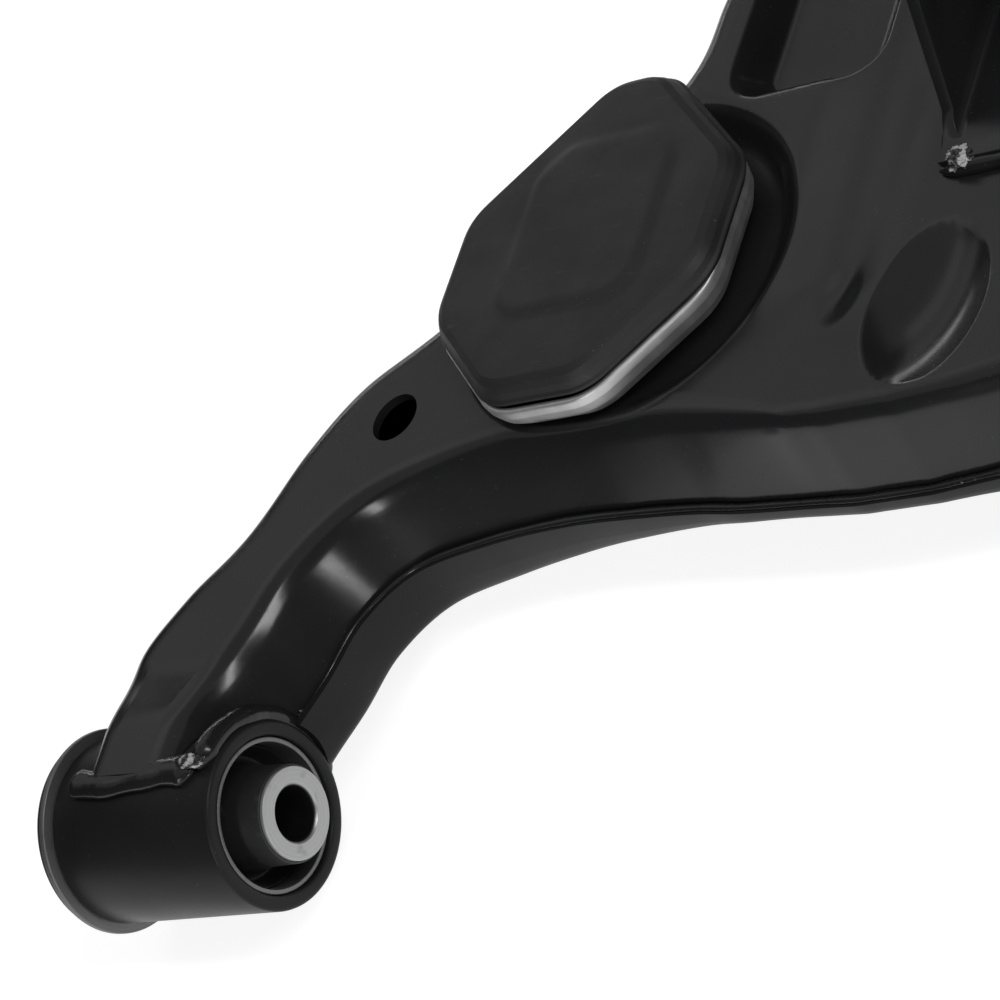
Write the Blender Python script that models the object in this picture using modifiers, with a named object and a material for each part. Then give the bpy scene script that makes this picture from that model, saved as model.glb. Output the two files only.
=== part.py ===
"""Front lower control arm: a welded two-shell wishbone with two pivot bushes, a jounce bumper,
a shock-absorber clevis, a stabiliser-link seat and a ball joint.

Frame: X runs along the pivot axis, Y from the pivots out to the ball joint, Z up.
The origin is on the pivot axis, midway between the two bushes. Lengths are in millimetres
until a vertex is made, where MM turns them into metres.
"""
import math

import bmesh
import bpy
from mathutils import Matrix, Vector

MM = 0.001
GAP = 0.3                   # clearance between touching pieces

# Pivot bushes
PIVOT_X = 220.0             # half the distance between the bush centres
TUBE_RADIUS = 28.0
TUBE_BORE = 23.3
TUBE_NEAR = 34.0            # from the bush's centre to the tube's end nearer the arm's middle
TUBE_FAR = 32.0
CAN_RADIUS = 23.0
CAN_BORE = 21.5
FLANGE_RADIUS = 31.0
SLEEVE_RADIUS = 13.8
SLEEVE_BORE = 8.1
SLEEVE_HALF = 42.2

# Stamped shells
SHEET = 3.0
LAP = SHEET + GAP           # the lower shell's wall stands outside the upper shell's
TOP = 28.0                  # height of the upper shell's plain top
TUBE_TOP = TUBE_RADIUS + SHEET + 0.7
TIP_TOP = 27.0
LEG_FLOOR = -17.0           # lowest face of the lower shell, under the legs
ARCH_FLOOR = -5.5           # along the middle of the inner edge
BODY_FLOOR = -9.0
LEG_HOLE = (-163.0, 118.0)
LEG_HOLE_RADIUS = 8.3

# Jounce bumper
PAD_CENTRE = (-92.5, 161.0)
# Distance from the pad's centre to each of its eight sides, from +X round by 45 degrees.
PAD_SIDES = (52.4, 51.3, 58.5, 48.8, 52.4, 53.6, 55.9, 51.3)
SEAT_RADIUS = 63.0
SEAT_STRETCH = 1.07         # the seat is longer along Y, as the pad is
SEAT_DEPTH = 6.0
SEAT_FOOT = TOP - SEAT_DEPTH + 0.8
RIM_HEIGHT = 37.0
PAD_TOP = 46.5

# Stabiliser-link pocket
POCKET_X = (-70.0, -17.0)
POCKET_Y = (216.0, 296.0)
POCKET_FLOOR = 18.0
LINK_HOLE = (-43.5, 267.0)
LINK_HOLE_RADIUS = 6.3

# Shock-absorber clevis
EAR_FACE = 26.0             # inner face of the front ear
EAR_SPACE = 56.0
EAR_SHEET = 4.0
CLEVIS_BOLT = (238.0, 76.0)
CLEVIS_HOLE_RADIUS = 7.3

# Ball joint
BALL_X = 20.0
BALL_Y = 400.0
BALL_Z = 14.0
BALL_RADIUS = 17.0
MOUTH = 52.0                # the socket opens this many degrees from the stud's axis
RING_RADIUS = 32.0
RING_BORE = 27.3
BOSS_RADIUS = 46.0

# Stations from the front bush round to the rear bush:
# inner outline, outer outline, width of the inner wall's slope.
FRONT_STATIONS = (
    ((-191, -2), (-246, -2), 1.0),
    ((-190, 22), (-247, 26), 1.0),
    ((-182, 44), (-247, 48), 0.95),
    ((-176, 64), (-235, 69), 0.8),
    ((-160, 80), (-219, 88), 0.8),
    ((-132, 87), (-206, 116), 1.0),
    ((-104, 90), (-189, 140), 1.05),
    ((-80, 90), (-160, 161), 1.0),
    ((-58, 89), (-131, 195), 0.95),
    ((-40, 87), (-94, 230), 0.9),
    ((-25, 86), (-85, 272), 0.8),
    ((-12, 85), (-60, 326), 0.7),
    ((0, 84), (-30, 366), 0.6),
)
REAR_STATIONS = (
    ((24, 84), (71, 366), 0.6),
    ((36, 85), (98, 326), 0.6),
    ((48, 86), (122, 280), 0.65),
    ((60, 87), (142, 238), 0.7),
    ((74, 88), (164, 200), 0.8),
    ((90, 90), (184, 166), 0.9),
    ((110, 90), (199, 138), 1.0),
    ((134, 87), (211, 112), 1.0),
    ((160, 80), (221, 88), 0.8),
    ((176, 64), (236, 70), 0.8),
    ((182, 44), (247, 48), 0.95),
    ((190, 22), (247, 26), 1.0),
    ((191, -2), (246, -2), 1.0),
)
TIP_ANGLES = (197, 160, 125, 90, 55, 20, -17)

# Wall sections: distance in from the outline, share of the height.
INNER_WALL = ((8, 0.64), (11.5, 0.87), (15.5, 0.97), (21, 1.0))
OUTER_WALL = ((4, 0.6), (7, 0.85), (11, 0.97), (17, 1.0))
LOWER_WALL = ((3.5, 0.62), (9, 0.92), (18, 1.0))

CAD_STEPS = 2               # loft lines between two stations
CAD_COLUMNS = 10            # loft columns across the plain top
FLOOR_COLUMNS = 3           # and across the floor
ROUND = 20                  # sides of a turned piece


# ---------------------------------------------------------------- scene helpers

def clear_scene():
    for item in list(bpy.data.objects):
        bpy.data.objects.remove(item, do_unlink=True)


def new_collection(name):
    group = bpy.data.collections.new(name)
    bpy.context.scene.collection.children.link(group)
    return group


def material(name, color, roughness, metallic):
    shader = bpy.data.materials.get(name)
    if shader is None:
        shader = bpy.data.materials.new(name)
        shader.use_nodes = True
        bsdf = shader.node_tree.nodes["Principled BSDF"]
        bsdf.inputs["Base Color"].default_value = (*color, 1.0)
        bsdf.inputs["Roughness"].default_value = roughness
        bsdf.inputs["Metallic"].default_value = metallic
    return shader


def black_paint():
    return material("black_paint", (0.018, 0.018, 0.019), 0.38, 0.0)


def bare_steel():
    return material("bare_steel", (0.42, 0.42, 0.41), 0.34, 1.0)


def zinc_steel():
    return material("zinc_steel", (0.55, 0.56, 0.57), 0.42, 1.0)


def black_rubber():
    return material("black_rubber", (0.02, 0.02, 0.021), 0.72, 0.0)


def dish_steel():
    return material("dish_steel", (0.25, 0.25, 0.26), 0.3, 1.0)


def forged_steel():
    return material("forged_steel", (0.3, 0.3, 0.31), 0.45, 1.0)


def liner_plastic():
    return material("liner_plastic", (0.75, 0.73, 0.66), 0.5, 0.0)


def link(mesh, name, group, shader=None):
    item = bpy.data.objects.new(name, mesh)
    group.objects.link(item)
    if shader is not None:
        mesh.materials.append(shader)
    return item


def shade_round(item, angle=35.0):
    item.data.shade_smooth()
    item.data.set_sharp_from_angle(angle=math.radians(angle))


def cut(item, cutter, mode="DIFFERENCE"):
    step = item.modifiers.new(mode.lower() + "_" + cutter.name, "BOOLEAN")
    step.operation = mode
    step.object = cutter
    step.solver = "EXACT"


def as_cutter(item):
    item.hide_render = True
    item.display_type = "WIRE"
    return item


def turned(name, group, profile, shader, sides=ROUND):
    """A profile of (radius, height) points turned about local Z.

    It runs down the outer side and back up the inner one, or from axis to axis.
    """
    closed = profile[0][0] > 0.0
    points = [(r * MM, 0.0, z * MM) for r, z in profile]
    edges = [(i, i + 1) for i in range(len(points) - 1)]
    if closed:
        edges.append((len(points) - 1, 0))
    mesh = bpy.data.meshes.new(name)
    mesh.from_pydata(points, edges, [])
    item = link(mesh, name, group, shader)
    screw = item.modifiers.new("turn", "SCREW")
    screw.axis = "Z"
    screw.angle = math.tau
    screw.steps = sides
    screw.render_steps = sides
    screw.use_merge_vertices = True
    screw.merge_threshold = 0.00001
    screw.use_smooth_shade = True
    return item


def cylinder(name, group, radius, depth, sides=32):
    """A cutter along local Z."""
    bm = bmesh.new()
    bmesh.ops.create_cone(bm, cap_ends=True, segments=sides, radius1=radius * MM,
                          radius2=radius * MM, depth=depth * MM)
    mesh = bpy.data.meshes.new(name)
    bm.to_mesh(mesh)
    bm.free()
    return as_cutter(link(mesh, name, group))


def block(name, group, low, high):
    """A box between two corners, with its mesh in world places."""
    bm = bmesh.new()
    bmesh.ops.create_cube(bm, size=1.0)
    for vert in bm.verts:
        vert.co = [(a + b) / 2 * MM + (b - a) * MM * c for a, b, c in zip(low, high, vert.co)]
    mesh = bpy.data.meshes.new(name)
    bm.to_mesh(mesh)
    bm.free()
    return link(mesh, name, group)


def place(item, x, y, z, rotation=(0.0, 0.0, 0.0)):
    item.location = (x * MM, y * MM, z * MM)
    item.rotation_euler = rotation
    return item


def prism(name, group, outline, thickness, shader=None):
    """A flat outline in local XY, thickness high, as a mesh."""
    curve = bpy.data.curves.new(name, "CURVE")
    curve.dimensions = "2D"
    curve.fill_mode = "BOTH"
    curve.extrude = thickness / 2 * MM
    line = curve.splines.new("POLY")
    line.points.add(len(outline) - 1)
    for point, (x, y) in zip(line.points, outline):
        point.co = (x * MM, y * MM, 0.0, 1.0)
    line.use_cyclic_u = True
    drawn = bpy.data.objects.new(name + "_outline", curve)
    group.objects.link(drawn)
    bpy.context.view_layer.update()
    source = drawn.evaluated_get(bpy.context.evaluated_depsgraph_get())
    mesh = bpy.data.meshes.new_from_object(source)
    mesh.name = name
    bpy.data.objects.remove(drawn, do_unlink=True)
    bm = bmesh.new()
    bm.from_mesh(mesh)
    bmesh.ops.remove_doubles(bm, verts=bm.verts, dist=0.00001)
    bmesh.ops.recalc_face_normals(bm, faces=bm.faces)
    bm.to_mesh(mesh)
    bm.free()
    mesh.materials.clear()
    return link(mesh, name, group, shader)


def arc(x, y, radius, start, end, count):
    """Points on a circle, angles in degrees."""
    angles = [start + (end - start) * i / (count - 1) for i in range(count)]
    return [(x + radius * math.cos(math.radians(a)), y + radius * math.sin(math.radians(a)))
            for a in angles]


# ---------------------------------------------------------------- stamped shells

def smooth(value):
    value = min(1.0, max(0.0, value))
    return value * value * (3.0 - 2.0 * value)


def spline(points, steps):
    """A Catmull-Rom curve through points of any length, with steps parts to each span."""
    result = []
    last = len(points) - 1
    for i in range(last):
        a, b, c, d = (points[max(i - 1, 0)], points[i], points[i + 1], points[min(i + 2, last)])
        for k in range(steps):
            u = k / steps
            result.append(tuple(
                0.5 * (2 * q + (r - p) * u + (2 * p - 5 * q + 4 * r - s) * u * u
                       + (3 * q - p - 3 * r + s) * u * u * u)
                for p, q, r, s in zip(a, b, c, d)))
    result.append(tuple(points[last]))
    return result


def stations():
    """Inner x, y, outer x, y and wall slope along the whole wishbone."""
    rows = [(*inner, *outer, slope) for inner, outer, slope in FRONT_STATIONS]
    for k, angle in enumerate(TIP_ANGLES):
        turn = math.radians(angle)
        inner_x = 12 + (k - 3) * 3.0
        rows.append((inner_x, 84, BALL_X + BOSS_RADIUS * math.cos(turn),
                     BALL_Y + BOSS_RADIUS * math.sin(turn), 0.6))
    rows += [(*inner, *outer, slope) for inner, outer, slope in REAR_STATIONS]
    return rows


def rounded_box_distance(x, y, x_range, y_range, corner):
    """Signed distance to a rectangle with round corners, negative inside."""
    half_x = (x_range[1] - x_range[0]) / 2 - corner
    half_y = (y_range[1] - y_range[0]) / 2 - corner
    dx = abs(x - sum(x_range) / 2) - half_x
    dy = abs(y - sum(y_range) / 2) - half_y
    outside = math.hypot(max(dx, 0.0), max(dy, 0.0))
    return outside + min(max(dx, dy), 0.0) - corner


def upper_height(x, y):
    """Height of the upper shell's outer face."""
    z = TOP + (TUBE_TOP - TOP) * smooth((40.0 - y) / 26.0)
    z += (TIP_TOP - TOP) * smooth((y - 320.0) / 30.0)
    seat = math.hypot(x - PAD_CENTRE[0], (y - PAD_CENTRE[1]) / SEAT_STRETCH)
    z -= SEAT_DEPTH * smooth((SEAT_RADIUS - seat) / 7.0)
    valley = abs(x + 12.0) / 20.0
    if valley < 1.0:
        ends = smooth((y - 125.0) / 20.0) * smooth((330.0 - y) / 60.0)
        z -= 3.5 * ends * (0.5 + 0.5 * math.cos(math.pi * valley))
    pocket = rounded_box_distance(x, y, POCKET_X, POCKET_Y, 9.0)
    z += (POCKET_FLOOR - z) * smooth((1.5 - pocket) / 8.0)
    dimple = math.hypot(x - 30.0, y - 130.0)
    z -= 7.0 * smooth((25.0 - dimple) / 18.0)
    return z


def shallow(x):
    """How far the inner edge has risen from the legs' depth: 0 at the legs, 1 in the middle."""
    return smooth((150.0 - abs(x)) / 130.0)


def lower_depth(x, y):
    """Height of the lower shell's outer face, below the pivot axis."""
    edge = LEG_FLOOR + (ARCH_FLOOR - LEG_FLOOR) * shallow(x)
    return edge + (BODY_FLOOR - edge) * smooth((y - 100.0) / 40.0)


def upper_rim(x):
    """Lowest edge of the upper shell's wall, inside the lower one."""
    return -4.0 + 3.8 * shallow(x)


def upper_bend(_x):
    """The upper wall is upright below the pivot axis and leans in above it."""
    return 0.0


def lower_rim(x):
    """Top edge of the lower shell's wall: the ledge that the seam weld lies on."""
    return 4.0 - 3.5 * shallow(x)


def lower_bend(x):
    """Where the lower wall turns under."""
    return -5.5 + 3.2 * shallow(x)


def inward(points, other):
    """Unit normals of an outline that point to the other outline."""
    normals = []
    last = len(points) - 1
    for i, (x, y) in enumerate(points):
        x0, y0 = points[max(i - 1, 0)]
        x1, y1 = points[min(i + 1, last)]
        normal = Vector((y0 - y1, x1 - x0)).normalized()
        if normal.dot(Vector(other[i]) - Vector((x, y))) < 0:
            normal.negate()
        normals.append(normal)
    return normals


def wall_points(foot, normal, wall, base, height):
    """The leaning part of a wall, from its foot in to the plain top."""
    spots = [(foot + normal * distance, share) for distance, share in wall]
    return [(*spot, base + share * (height(*spot) - base)) for spot, share in spots]


def shell_section(inner, outer, inner_normal, outer_normal, slope, columns, sides, height):
    """One line of the loft: wall, top and wall, as (x, y, z)."""
    lap, rim, bend, inner_wall, outer_wall = sides
    start = Vector(inner) - inner_normal * lap
    end = Vector(outer) - outer_normal * lap
    near = wall_points(start, inner_normal * slope, inner_wall, bend(start.x), height)
    far = wall_points(end, outer_normal, outer_wall, bend(end.x), height)
    reach_in = Vector(near[-1][0:2])
    reach_out = Vector(far[-1][0:2])
    line = [(*start, rim(start.x)), (*start, bend(start.x))] + near
    for k in range(1, columns):
        spot = reach_in.lerp(reach_out, k / columns)
        line.append((*spot, height(*spot)))
    line += list(reversed(far)) + [(*end, bend(end.x)), (*end, rim(end.x))]
    return line


def shell_mesh(name, sides, height, columns, steps):
    rows = spline(stations(), steps)
    inner = [row[0:2] for row in rows]
    outer = [row[2:4] for row in rows]
    inner_normals = inward(inner, outer)
    outer_normals = inward(outer, inner)
    lines = [
        shell_section(inner[i], outer[i], inner_normals[i], outer_normals[i], rows[i][4],
                      columns, sides, height)
        for i in range(len(rows))]
    width = len(lines[0])
    points = [(x * MM, y * MM, z * MM) for line in lines for x, y, z in line]
    faces = []
    for i in range(len(lines) - 1):
        for k in range(width - 1):
            a = i * width + k
            faces.append((a, a + width, a + width + 1, a + 1))
    mesh = bpy.data.meshes.new(name)
    mesh.from_pydata(points, [], faces)
    return mesh


def shell_object(name, group, sides, height, upward):
    mesh = shell_mesh(name, sides, height, CAD_COLUMNS if upward else FLOOR_COLUMNS, CAD_STEPS)
    item = link(mesh, name, group, black_paint())
    bm = bmesh.new()
    bm.from_mesh(mesh)
    bm.normal_update()
    tilt = sum(face.normal.z * face.calc_area() for face in bm.faces)
    if (tilt > 0) != upward:
        bmesh.ops.reverse_faces(bm, faces=bm.faces)
    bm.to_mesh(mesh)
    bm.free()
    sheet = item.modifiers.new("sheet", "SOLIDIFY")
    sheet.thickness = SHEET * MM
    sheet.offset = -1.0
    sheet.use_even_offset = True
    sheet.use_rim = True
    return item


def vertical_hole(item, cutters, name, spot, radius, low, high, sides=24):
    cutter = cylinder(name, cutters, radius, high - low, sides)
    place(cutter, spot[0], spot[1], (low + high) / 2)
    cut(item, cutter)


def saddle_cutters(cutters):
    """Cylinders that cut both shells to fit over the bush tubes."""
    result = []
    for label, side in (("front", -1), ("rear", 1)):
        cutter = cylinder(label + "_saddle", cutters, TUBE_RADIUS + GAP + 0.1, 2 * TUBE_NEAR + 60, 48)
        place(cutter, side * PIVOT_X, 0, 0, (0.0, math.pi / 2, 0.0))
        result.append(cutter)
    return result


def upper_shell(group, cutters, saddles):
    sides = (0.0, upper_rim, upper_bend, INNER_WALL, OUTER_WALL)
    item = shell_object("upper_shell", group, sides, upper_height, True)
    for saddle in saddles:
        cut(item, saddle)
    vertical_hole(item, cutters, "ring_hole_top", (BALL_X, BALL_Y), RING_RADIUS + GAP + 0.1, 10, 50, 32)
    vertical_hole(item, cutters, "leg_hole", LEG_HOLE, LEG_HOLE_RADIUS, 10, 50)
    vertical_hole(item, cutters, "rear_leg_hole", (-LEG_HOLE[0], LEG_HOLE[1]), LEG_HOLE_RADIUS, 10, 50)
    vertical_hole(item, cutters, "bumper_hole", PAD_CENTRE, 6.8, 10, 50, 16)
    vertical_hole(item, cutters, "link_hole", LINK_HOLE, LINK_HOLE_RADIUS, 5, 40, 16)
    shade_round(item)
    return item


def lower_shell(group, cutters, saddles):
    sides = (LAP, lower_rim, lower_bend, LOWER_WALL, LOWER_WALL)
    item = shell_object("lower_shell", group, sides, lower_depth, False)
    for saddle in saddles:
        cut(item, saddle)
    vertical_hole(item, cutters, "ring_hole_bottom", (BALL_X, BALL_Y), RING_RADIUS + GAP + 0.1, -40, 3, 32)
    vertical_hole(item, cutters, "bumper_access", PAD_CENTRE, 17.0, -40, 3)
    vertical_hole(item, cutters, "link_access", LINK_HOLE, 14.0, -40, 3)
    shade_round(item)
    return item


def inner_brace(group):
    """A pressed hat section between the shells, under the clevis."""
    outline = ((-33, -4.0), (-33, -1.5), (-22, -1.5), (-18, 24.2), (18, 24.2), (22, -1.5), (33, -1.5),
               (33, -4.0), (19.5, -4.0), (15.5, 21.7), (-15.5, 21.7), (-19.5, -4.0))
    item = prism("inner_brace", group, outline, 64.0, black_paint())
    # Local X lies along world X, local Y points up.
    item.rotation_euler = (math.pi / 2, 0.0, 0.0)
    item.location = (54 * MM, 232 * MM, 0.0)
    return item


# ---------------------------------------------------------------- pivot bushes
# Local +Z points to the middle of the arm, and the flange is at the local -Z end.

def bush(label, side, group):
    turn = (0.0, -side * math.pi / 2, 0.0)
    x = side * PIVOT_X
    tube = turned(label + "_bush_tube", group, (
        (TUBE_RADIUS - 1, TUBE_NEAR), (TUBE_RADIUS, TUBE_NEAR - 1),
        (TUBE_RADIUS, -TUBE_FAR), (TUBE_BORE, -TUBE_FAR), (TUBE_BORE, TUBE_NEAR)), black_paint())
    flange = -TUBE_FAR - GAP
    can = turned(label + "_bush_can", group, (
        (CAN_RADIUS, TUBE_NEAR - 2.5), (CAN_RADIUS, flange), (FLANGE_RADIUS, flange),
        (FLANGE_RADIUS, flange - 2), (CAN_BORE, flange - 2), (CAN_BORE, TUBE_NEAR - 2.5)), bare_steel())
    inner = SLEEVE_RADIUS + GAP
    outer = CAN_BORE - GAP
    lip = flange - 2 - GAP
    rubber = turned(label + "_bush_rubber", group, (
        (outer - 1, TUBE_NEAR - 6), (outer, TUBE_NEAR - 8), (outer, lip), (FLANGE_RADIUS - 1, lip),
        (FLANGE_RADIUS - 2, lip - 2.4), (24, lip - 3), (19, lip + 1.6), (inner, lip - 1.4),
        (inner, TUBE_NEAR - 1), (17.5, TUBE_NEAR - 11)), black_rubber())
    sleeve = turned(label + "_bush_sleeve", group, (
        (SLEEVE_RADIUS - 0.6, SLEEVE_HALF), (SLEEVE_RADIUS, SLEEVE_HALF - 0.6),
        (SLEEVE_RADIUS, -SLEEVE_HALF + 0.6), (SLEEVE_RADIUS - 0.6, -SLEEVE_HALF),
        (SLEEVE_BORE + 0.8, -SLEEVE_HALF), (SLEEVE_BORE, -SLEEVE_HALF + 0.8),
        (SLEEVE_BORE, SLEEVE_HALF - 0.8), (SLEEVE_BORE + 0.8, SLEEVE_HALF)), zinc_steel())
    for item in (tube, can, rubber, sleeve):
        place(item, x, 0, 0, turn)


# ---------------------------------------------------------------- jounce bumper

def pad_ring(inset, corner, z, per_corner=3):
    """The pad's outline moved in by inset, as a ring of points with round corners."""
    result = []
    for k in range(8):
        angle = math.radians(45.0 * k)
        following = math.radians(45.0 * (k + 1))
        near = PAD_SIDES[k] - inset - corner
        far = PAD_SIDES[(k + 1) % 8] - inset - corner
        span = math.sin(following - angle)
        x = (near * math.sin(following) - far * math.sin(angle)) / span
        y = (far * math.cos(angle) - near * math.cos(following)) / span
        for px, py in arc(x, y, corner, 45.0 * k, 45.0 * (k + 1), per_corner):
            result.append((PAD_CENTRE[0] + px, PAD_CENTRE[1] + py, z))
    return result


def ring_solid(name, group, rings, shader):
    """A solid of stacked rings from the bottom up, capped at both ends."""
    bm = bmesh.new()
    loops = [[bm.verts.new((x * MM, y * MM, z * MM)) for x, y, z in ring] for ring in rings]
    count = len(loops[0])
    for low, high in zip(loops, loops[1:]):
        for k in range(count):
            bm.faces.new((low[k], low[(k + 1) % count], high[(k + 1) % count], high[k]))
    bm.faces.new(list(reversed(loops[0])))
    bm.faces.new(loops[-1])
    bmesh.ops.recalc_face_normals(bm, faces=bm.faces)
    mesh = bpy.data.meshes.new(name)
    bm.to_mesh(mesh)
    bm.free()
    return link(mesh, name, group, shader)


def bumper_dish(group, cutters):
    foot = SEAT_FOOT
    sheet = 2.2
    rings = [
        pad_ring(18, 9, foot), pad_ring(12, 13, foot + 2), pad_ring(5.5, 14, foot + 5),
        pad_ring(1, 14, foot + 9), pad_ring(0, 14, RIM_HEIGHT), pad_ring(1.8, 13, RIM_HEIGHT),
        pad_ring(3, 12, foot + 9.5), pad_ring(6.5, 13, foot + 6.5), pad_ring(16, 9, foot + sheet)]
    item = ring_solid("bumper_dish", group, rings, dish_steel())
    vertical_hole(item, cutters, "dish_hole", PAD_CENTRE, 6.8, 10, 30, 16)
    return item


def bumper_rubber(group, cutters):
    floor = SEAT_FOOT + 2.2 + GAP
    rings = [
        pad_ring(18, 9, floor), pad_ring(8, 12, floor + 5), pad_ring(4.2, 12, floor + 8),
        pad_ring(2.2, 13, RIM_HEIGHT + 0.4), pad_ring(1.2, 14, RIM_HEIGHT + 1.5),
        pad_ring(3, 14, RIM_HEIGHT + 3.2), pad_ring(4, 14, RIM_HEIGHT + 6),
        pad_ring(7, 14, PAD_TOP - 1.6), pad_ring(12, 12, PAD_TOP - 1),
        pad_ring(18, 9, PAD_TOP)]
    item = ring_solid("bumper_rubber", group, rings, black_rubber())
    vertical_hole(item, cutters, "stud_seat", PAD_CENTRE, 11.4, floor - 3, floor + 3.4, 16)
    return item


def bumper_fixings(group, cutters):
    floor = SEAT_FOOT + 2.2 + GAP
    under = TOP - SEAT_DEPTH - SHEET - GAP
    stud = turned("bumper_stud", group, (
        (0, floor + 3), (11, floor + 3), (11, floor), (6, floor), (6, under - 16), (5, under - 17),
        (0, under - 17)), zinc_steel(), 16)
    washer = turned("bumper_washer", group, (
        (13, under), (13, under - 2), (6.5, under - 2), (6.5, under)), zinc_steel(), 16)
    top = under - 2 - GAP
    nut = turned("bumper_nut", group, (
        (0, top), (10.4, top), (10.4, top - 9), (9.6, top - 10), (0, top - 10)), zinc_steel(), 6)
    vertical_hole(nut, cutters, "bumper_nut_bore", PAD_CENTRE, 6.4, top - 15, top + 5, 16)
    for item in (stud, washer, nut):
        place(item, PAD_CENTRE[0], PAD_CENTRE[1], 0)


# ---------------------------------------------------------------- shock clevis and link nut

def shock_bracket(group, cutters):
    """A U-shaped clevis: two ears on a base that is welded to the upper shell."""
    foot = TOP + GAP
    by, bz = CLEVIS_BOLT
    outline = [(169, foot), (298, foot), (298, foot + 5)]
    outline += arc(by, bz, 21, 0, 180 - 36, 8)
    outline += [(184, foot + 8), (176, foot + EAR_SHEET), (169, foot + EAR_SHEET)]
    width = EAR_SPACE + 2 * EAR_SHEET
    item = prism("shock_bracket", group, outline, width, black_paint())
    # Local X lies along world Y, local Y points up, and the thickness runs along X.
    item.rotation_euler = Matrix(((0, 0, 1), (1, 0, 0), (0, 1, 0))).to_euler()
    item.location = ((EAR_FACE + EAR_SPACE / 2) * MM, 0.0, 0.0)
    gap = as_cutter(block("clevis_gap", cutters, (EAR_FACE, 150, foot + EAR_SHEET),
                          (EAR_FACE + EAR_SPACE, 320, bz + 40)))
    cut(item, gap)
    hole = cylinder("clevis_hole", cutters, CLEVIS_HOLE_RADIUS, 120, 24)
    place(hole, EAR_FACE + EAR_SPACE / 2, by, bz, (0.0, math.pi / 2, 0.0))
    cut(item, hole)
    return item


def shock_weld_nut(group):
    outside = EAR_FACE + EAR_SPACE + EAR_SHEET + GAP
    item = turned("shock_weld_nut", group, (
        (11, 12), (12.5, 10.5), (12.5, 3), (15.5, 2.4), (15.5, 0), (CLEVIS_HOLE_RADIUS - 0.5, 0),
        (CLEVIS_HOLE_RADIUS - 0.5, 12)), zinc_steel(), 18)
    return place(item, outside, CLEVIS_BOLT[0], CLEVIS_BOLT[1], (0.0, math.pi / 2, 0.0))


def link_weld_nut(group):
    under = POCKET_FLOOR - SHEET - GAP - 0.2
    item = turned("link_weld_nut", group, (
        (13, under), (13, under - 2), (10, under - 2.4), (10, under - 11), (LINK_HOLE_RADIUS, under - 11),
        (LINK_HOLE_RADIUS, under)), zinc_steel(), 18)
    return place(item, LINK_HOLE[0], LINK_HOLE[1], 0)


# ---------------------------------------------------------------- ball joint

def ball_joint(group, cutters):
    at = (BALL_X, BALL_Y, 0)
    place(turned("ball_joint_ring", group, (
        (RING_RADIUS - 1, 28), (RING_RADIUS, 27), (RING_RADIUS, -14), (RING_BORE, -14),
        (RING_BORE, 28)), forged_steel()), *at)
    place(turned("ball_joint_housing", group, housing_profile(), forged_steel()), *at)
    place(turned("ball_joint_liner", group, liner_profile(), liner_plastic()), *at)
    place(turned("ball_joint_cover", group, (
        (0, -7.3), (20, -7.3), (21.7, -8), (21.7, -9.6), (0, -9.6)), zinc_steel()), *at)
    circlip(group, cutters)
    stud = place(turned("ball_stud", group, stud_profile(), forged_steel()), *at)
    pin_hole = cylinder("cotter_hole", cutters, 1.9, 40, 12)
    place(pin_hole, BALL_X, BALL_Y, 89.5, (0.0, math.pi / 2, 0.0))
    cut(stud, pin_hole)
    place(turned("ball_joint_boot", group, boot_profile(), black_rubber()), *at)
    place(turned("boot_lower_clip", group, ring_profile(25.6, 29.4, 0.9, 6), bare_steel()), *at)
    place(turned("boot_upper_clip", group, ring_profile(13.3, 50.0, 0.8, 6), bare_steel()), *at)
    castle_nut(group, cutters)
    cotter_pin(group)


def ring_profile(radius, height, wire, sides):
    """A small round section, listed clockwise so that it turns into a ring facing out."""
    return [(radius + wire * math.cos(math.tau * k / sides), height - wire * math.sin(math.tau * k / sides))
            for k in range(sides)]


def sphere_arc(radius, start, end, count):
    """Points (radius, height) on a sphere about the ball's centre, angles from the top."""
    angles = [math.radians(start + (end - start) * i / (count - 1)) for i in range(count)]
    return [(radius * math.sin(a), BALL_Z + radius * math.cos(a)) for a in angles]


def housing_profile():
    """The cup that is pressed into the ring from below."""
    bore = BALL_RADIUS + 3.3
    outside = [(19.4, 33), (23.5, 33), (23.5, 31.4), (22.2, 30.8), (22.2, 28), (27, 27), (27, -14.3),
               (31, -14.3), (31, -17.5), (22, -17.5), (22, -12.6), (23.2, -12.6), (23.2, -9.9),
               (22, -9.9), (22, -7), (bore, -7)]
    return outside + [(bore, BALL_Z)] + sphere_arc(bore, 77, MOUTH - 2, 3)


def liner_profile():
    """The plastic seat between ball and housing."""
    outer = BALL_RADIUS + 3.0
    inner = BALL_RADIUS + 0.5
    outside = sphere_arc(outer, MOUTH, 90, 5) + [(outer, -6.9)]
    inside = [(9, -6.9)] + sphere_arc(inner, 148, MOUTH, 9)
    return outside + inside


def stud_profile():
    """Ball, neck, taper and thread, from the top down to the ball's flat."""
    neck = 7.5
    ball = sphere_arc(BALL_RADIUS, 28, 158, 10)
    return ([(0, 98), (5.9, 98), (6.9, 96.8), (6.9, 74), (7.7, 73), (9.4, 53), (9.4, 52), (neck, 49)]
            + [(neck, 32)] + ball + [(0, ball[-1][1])])


def boot_profile():
    """A two-fold bellows from the housing's groove to the stud."""
    outside = [(9.8, 52), (12.4, 52), (12.2, 48), (15.5, 46), (22, 44), (23, 42), (20, 39.5), (27, 36.5),
               (27.6, 34), (24.6, 31.5), (24.6, 27.8)]
    inside = [(22.6, 28.3), (22.6, 30.5), (24, 31.2), (25.8, 34), (25, 35.6), (18, 39.2), (20.4, 42.4),
              (15, 44.2), (9.8, 46.5)]
    return outside + inside


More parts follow.
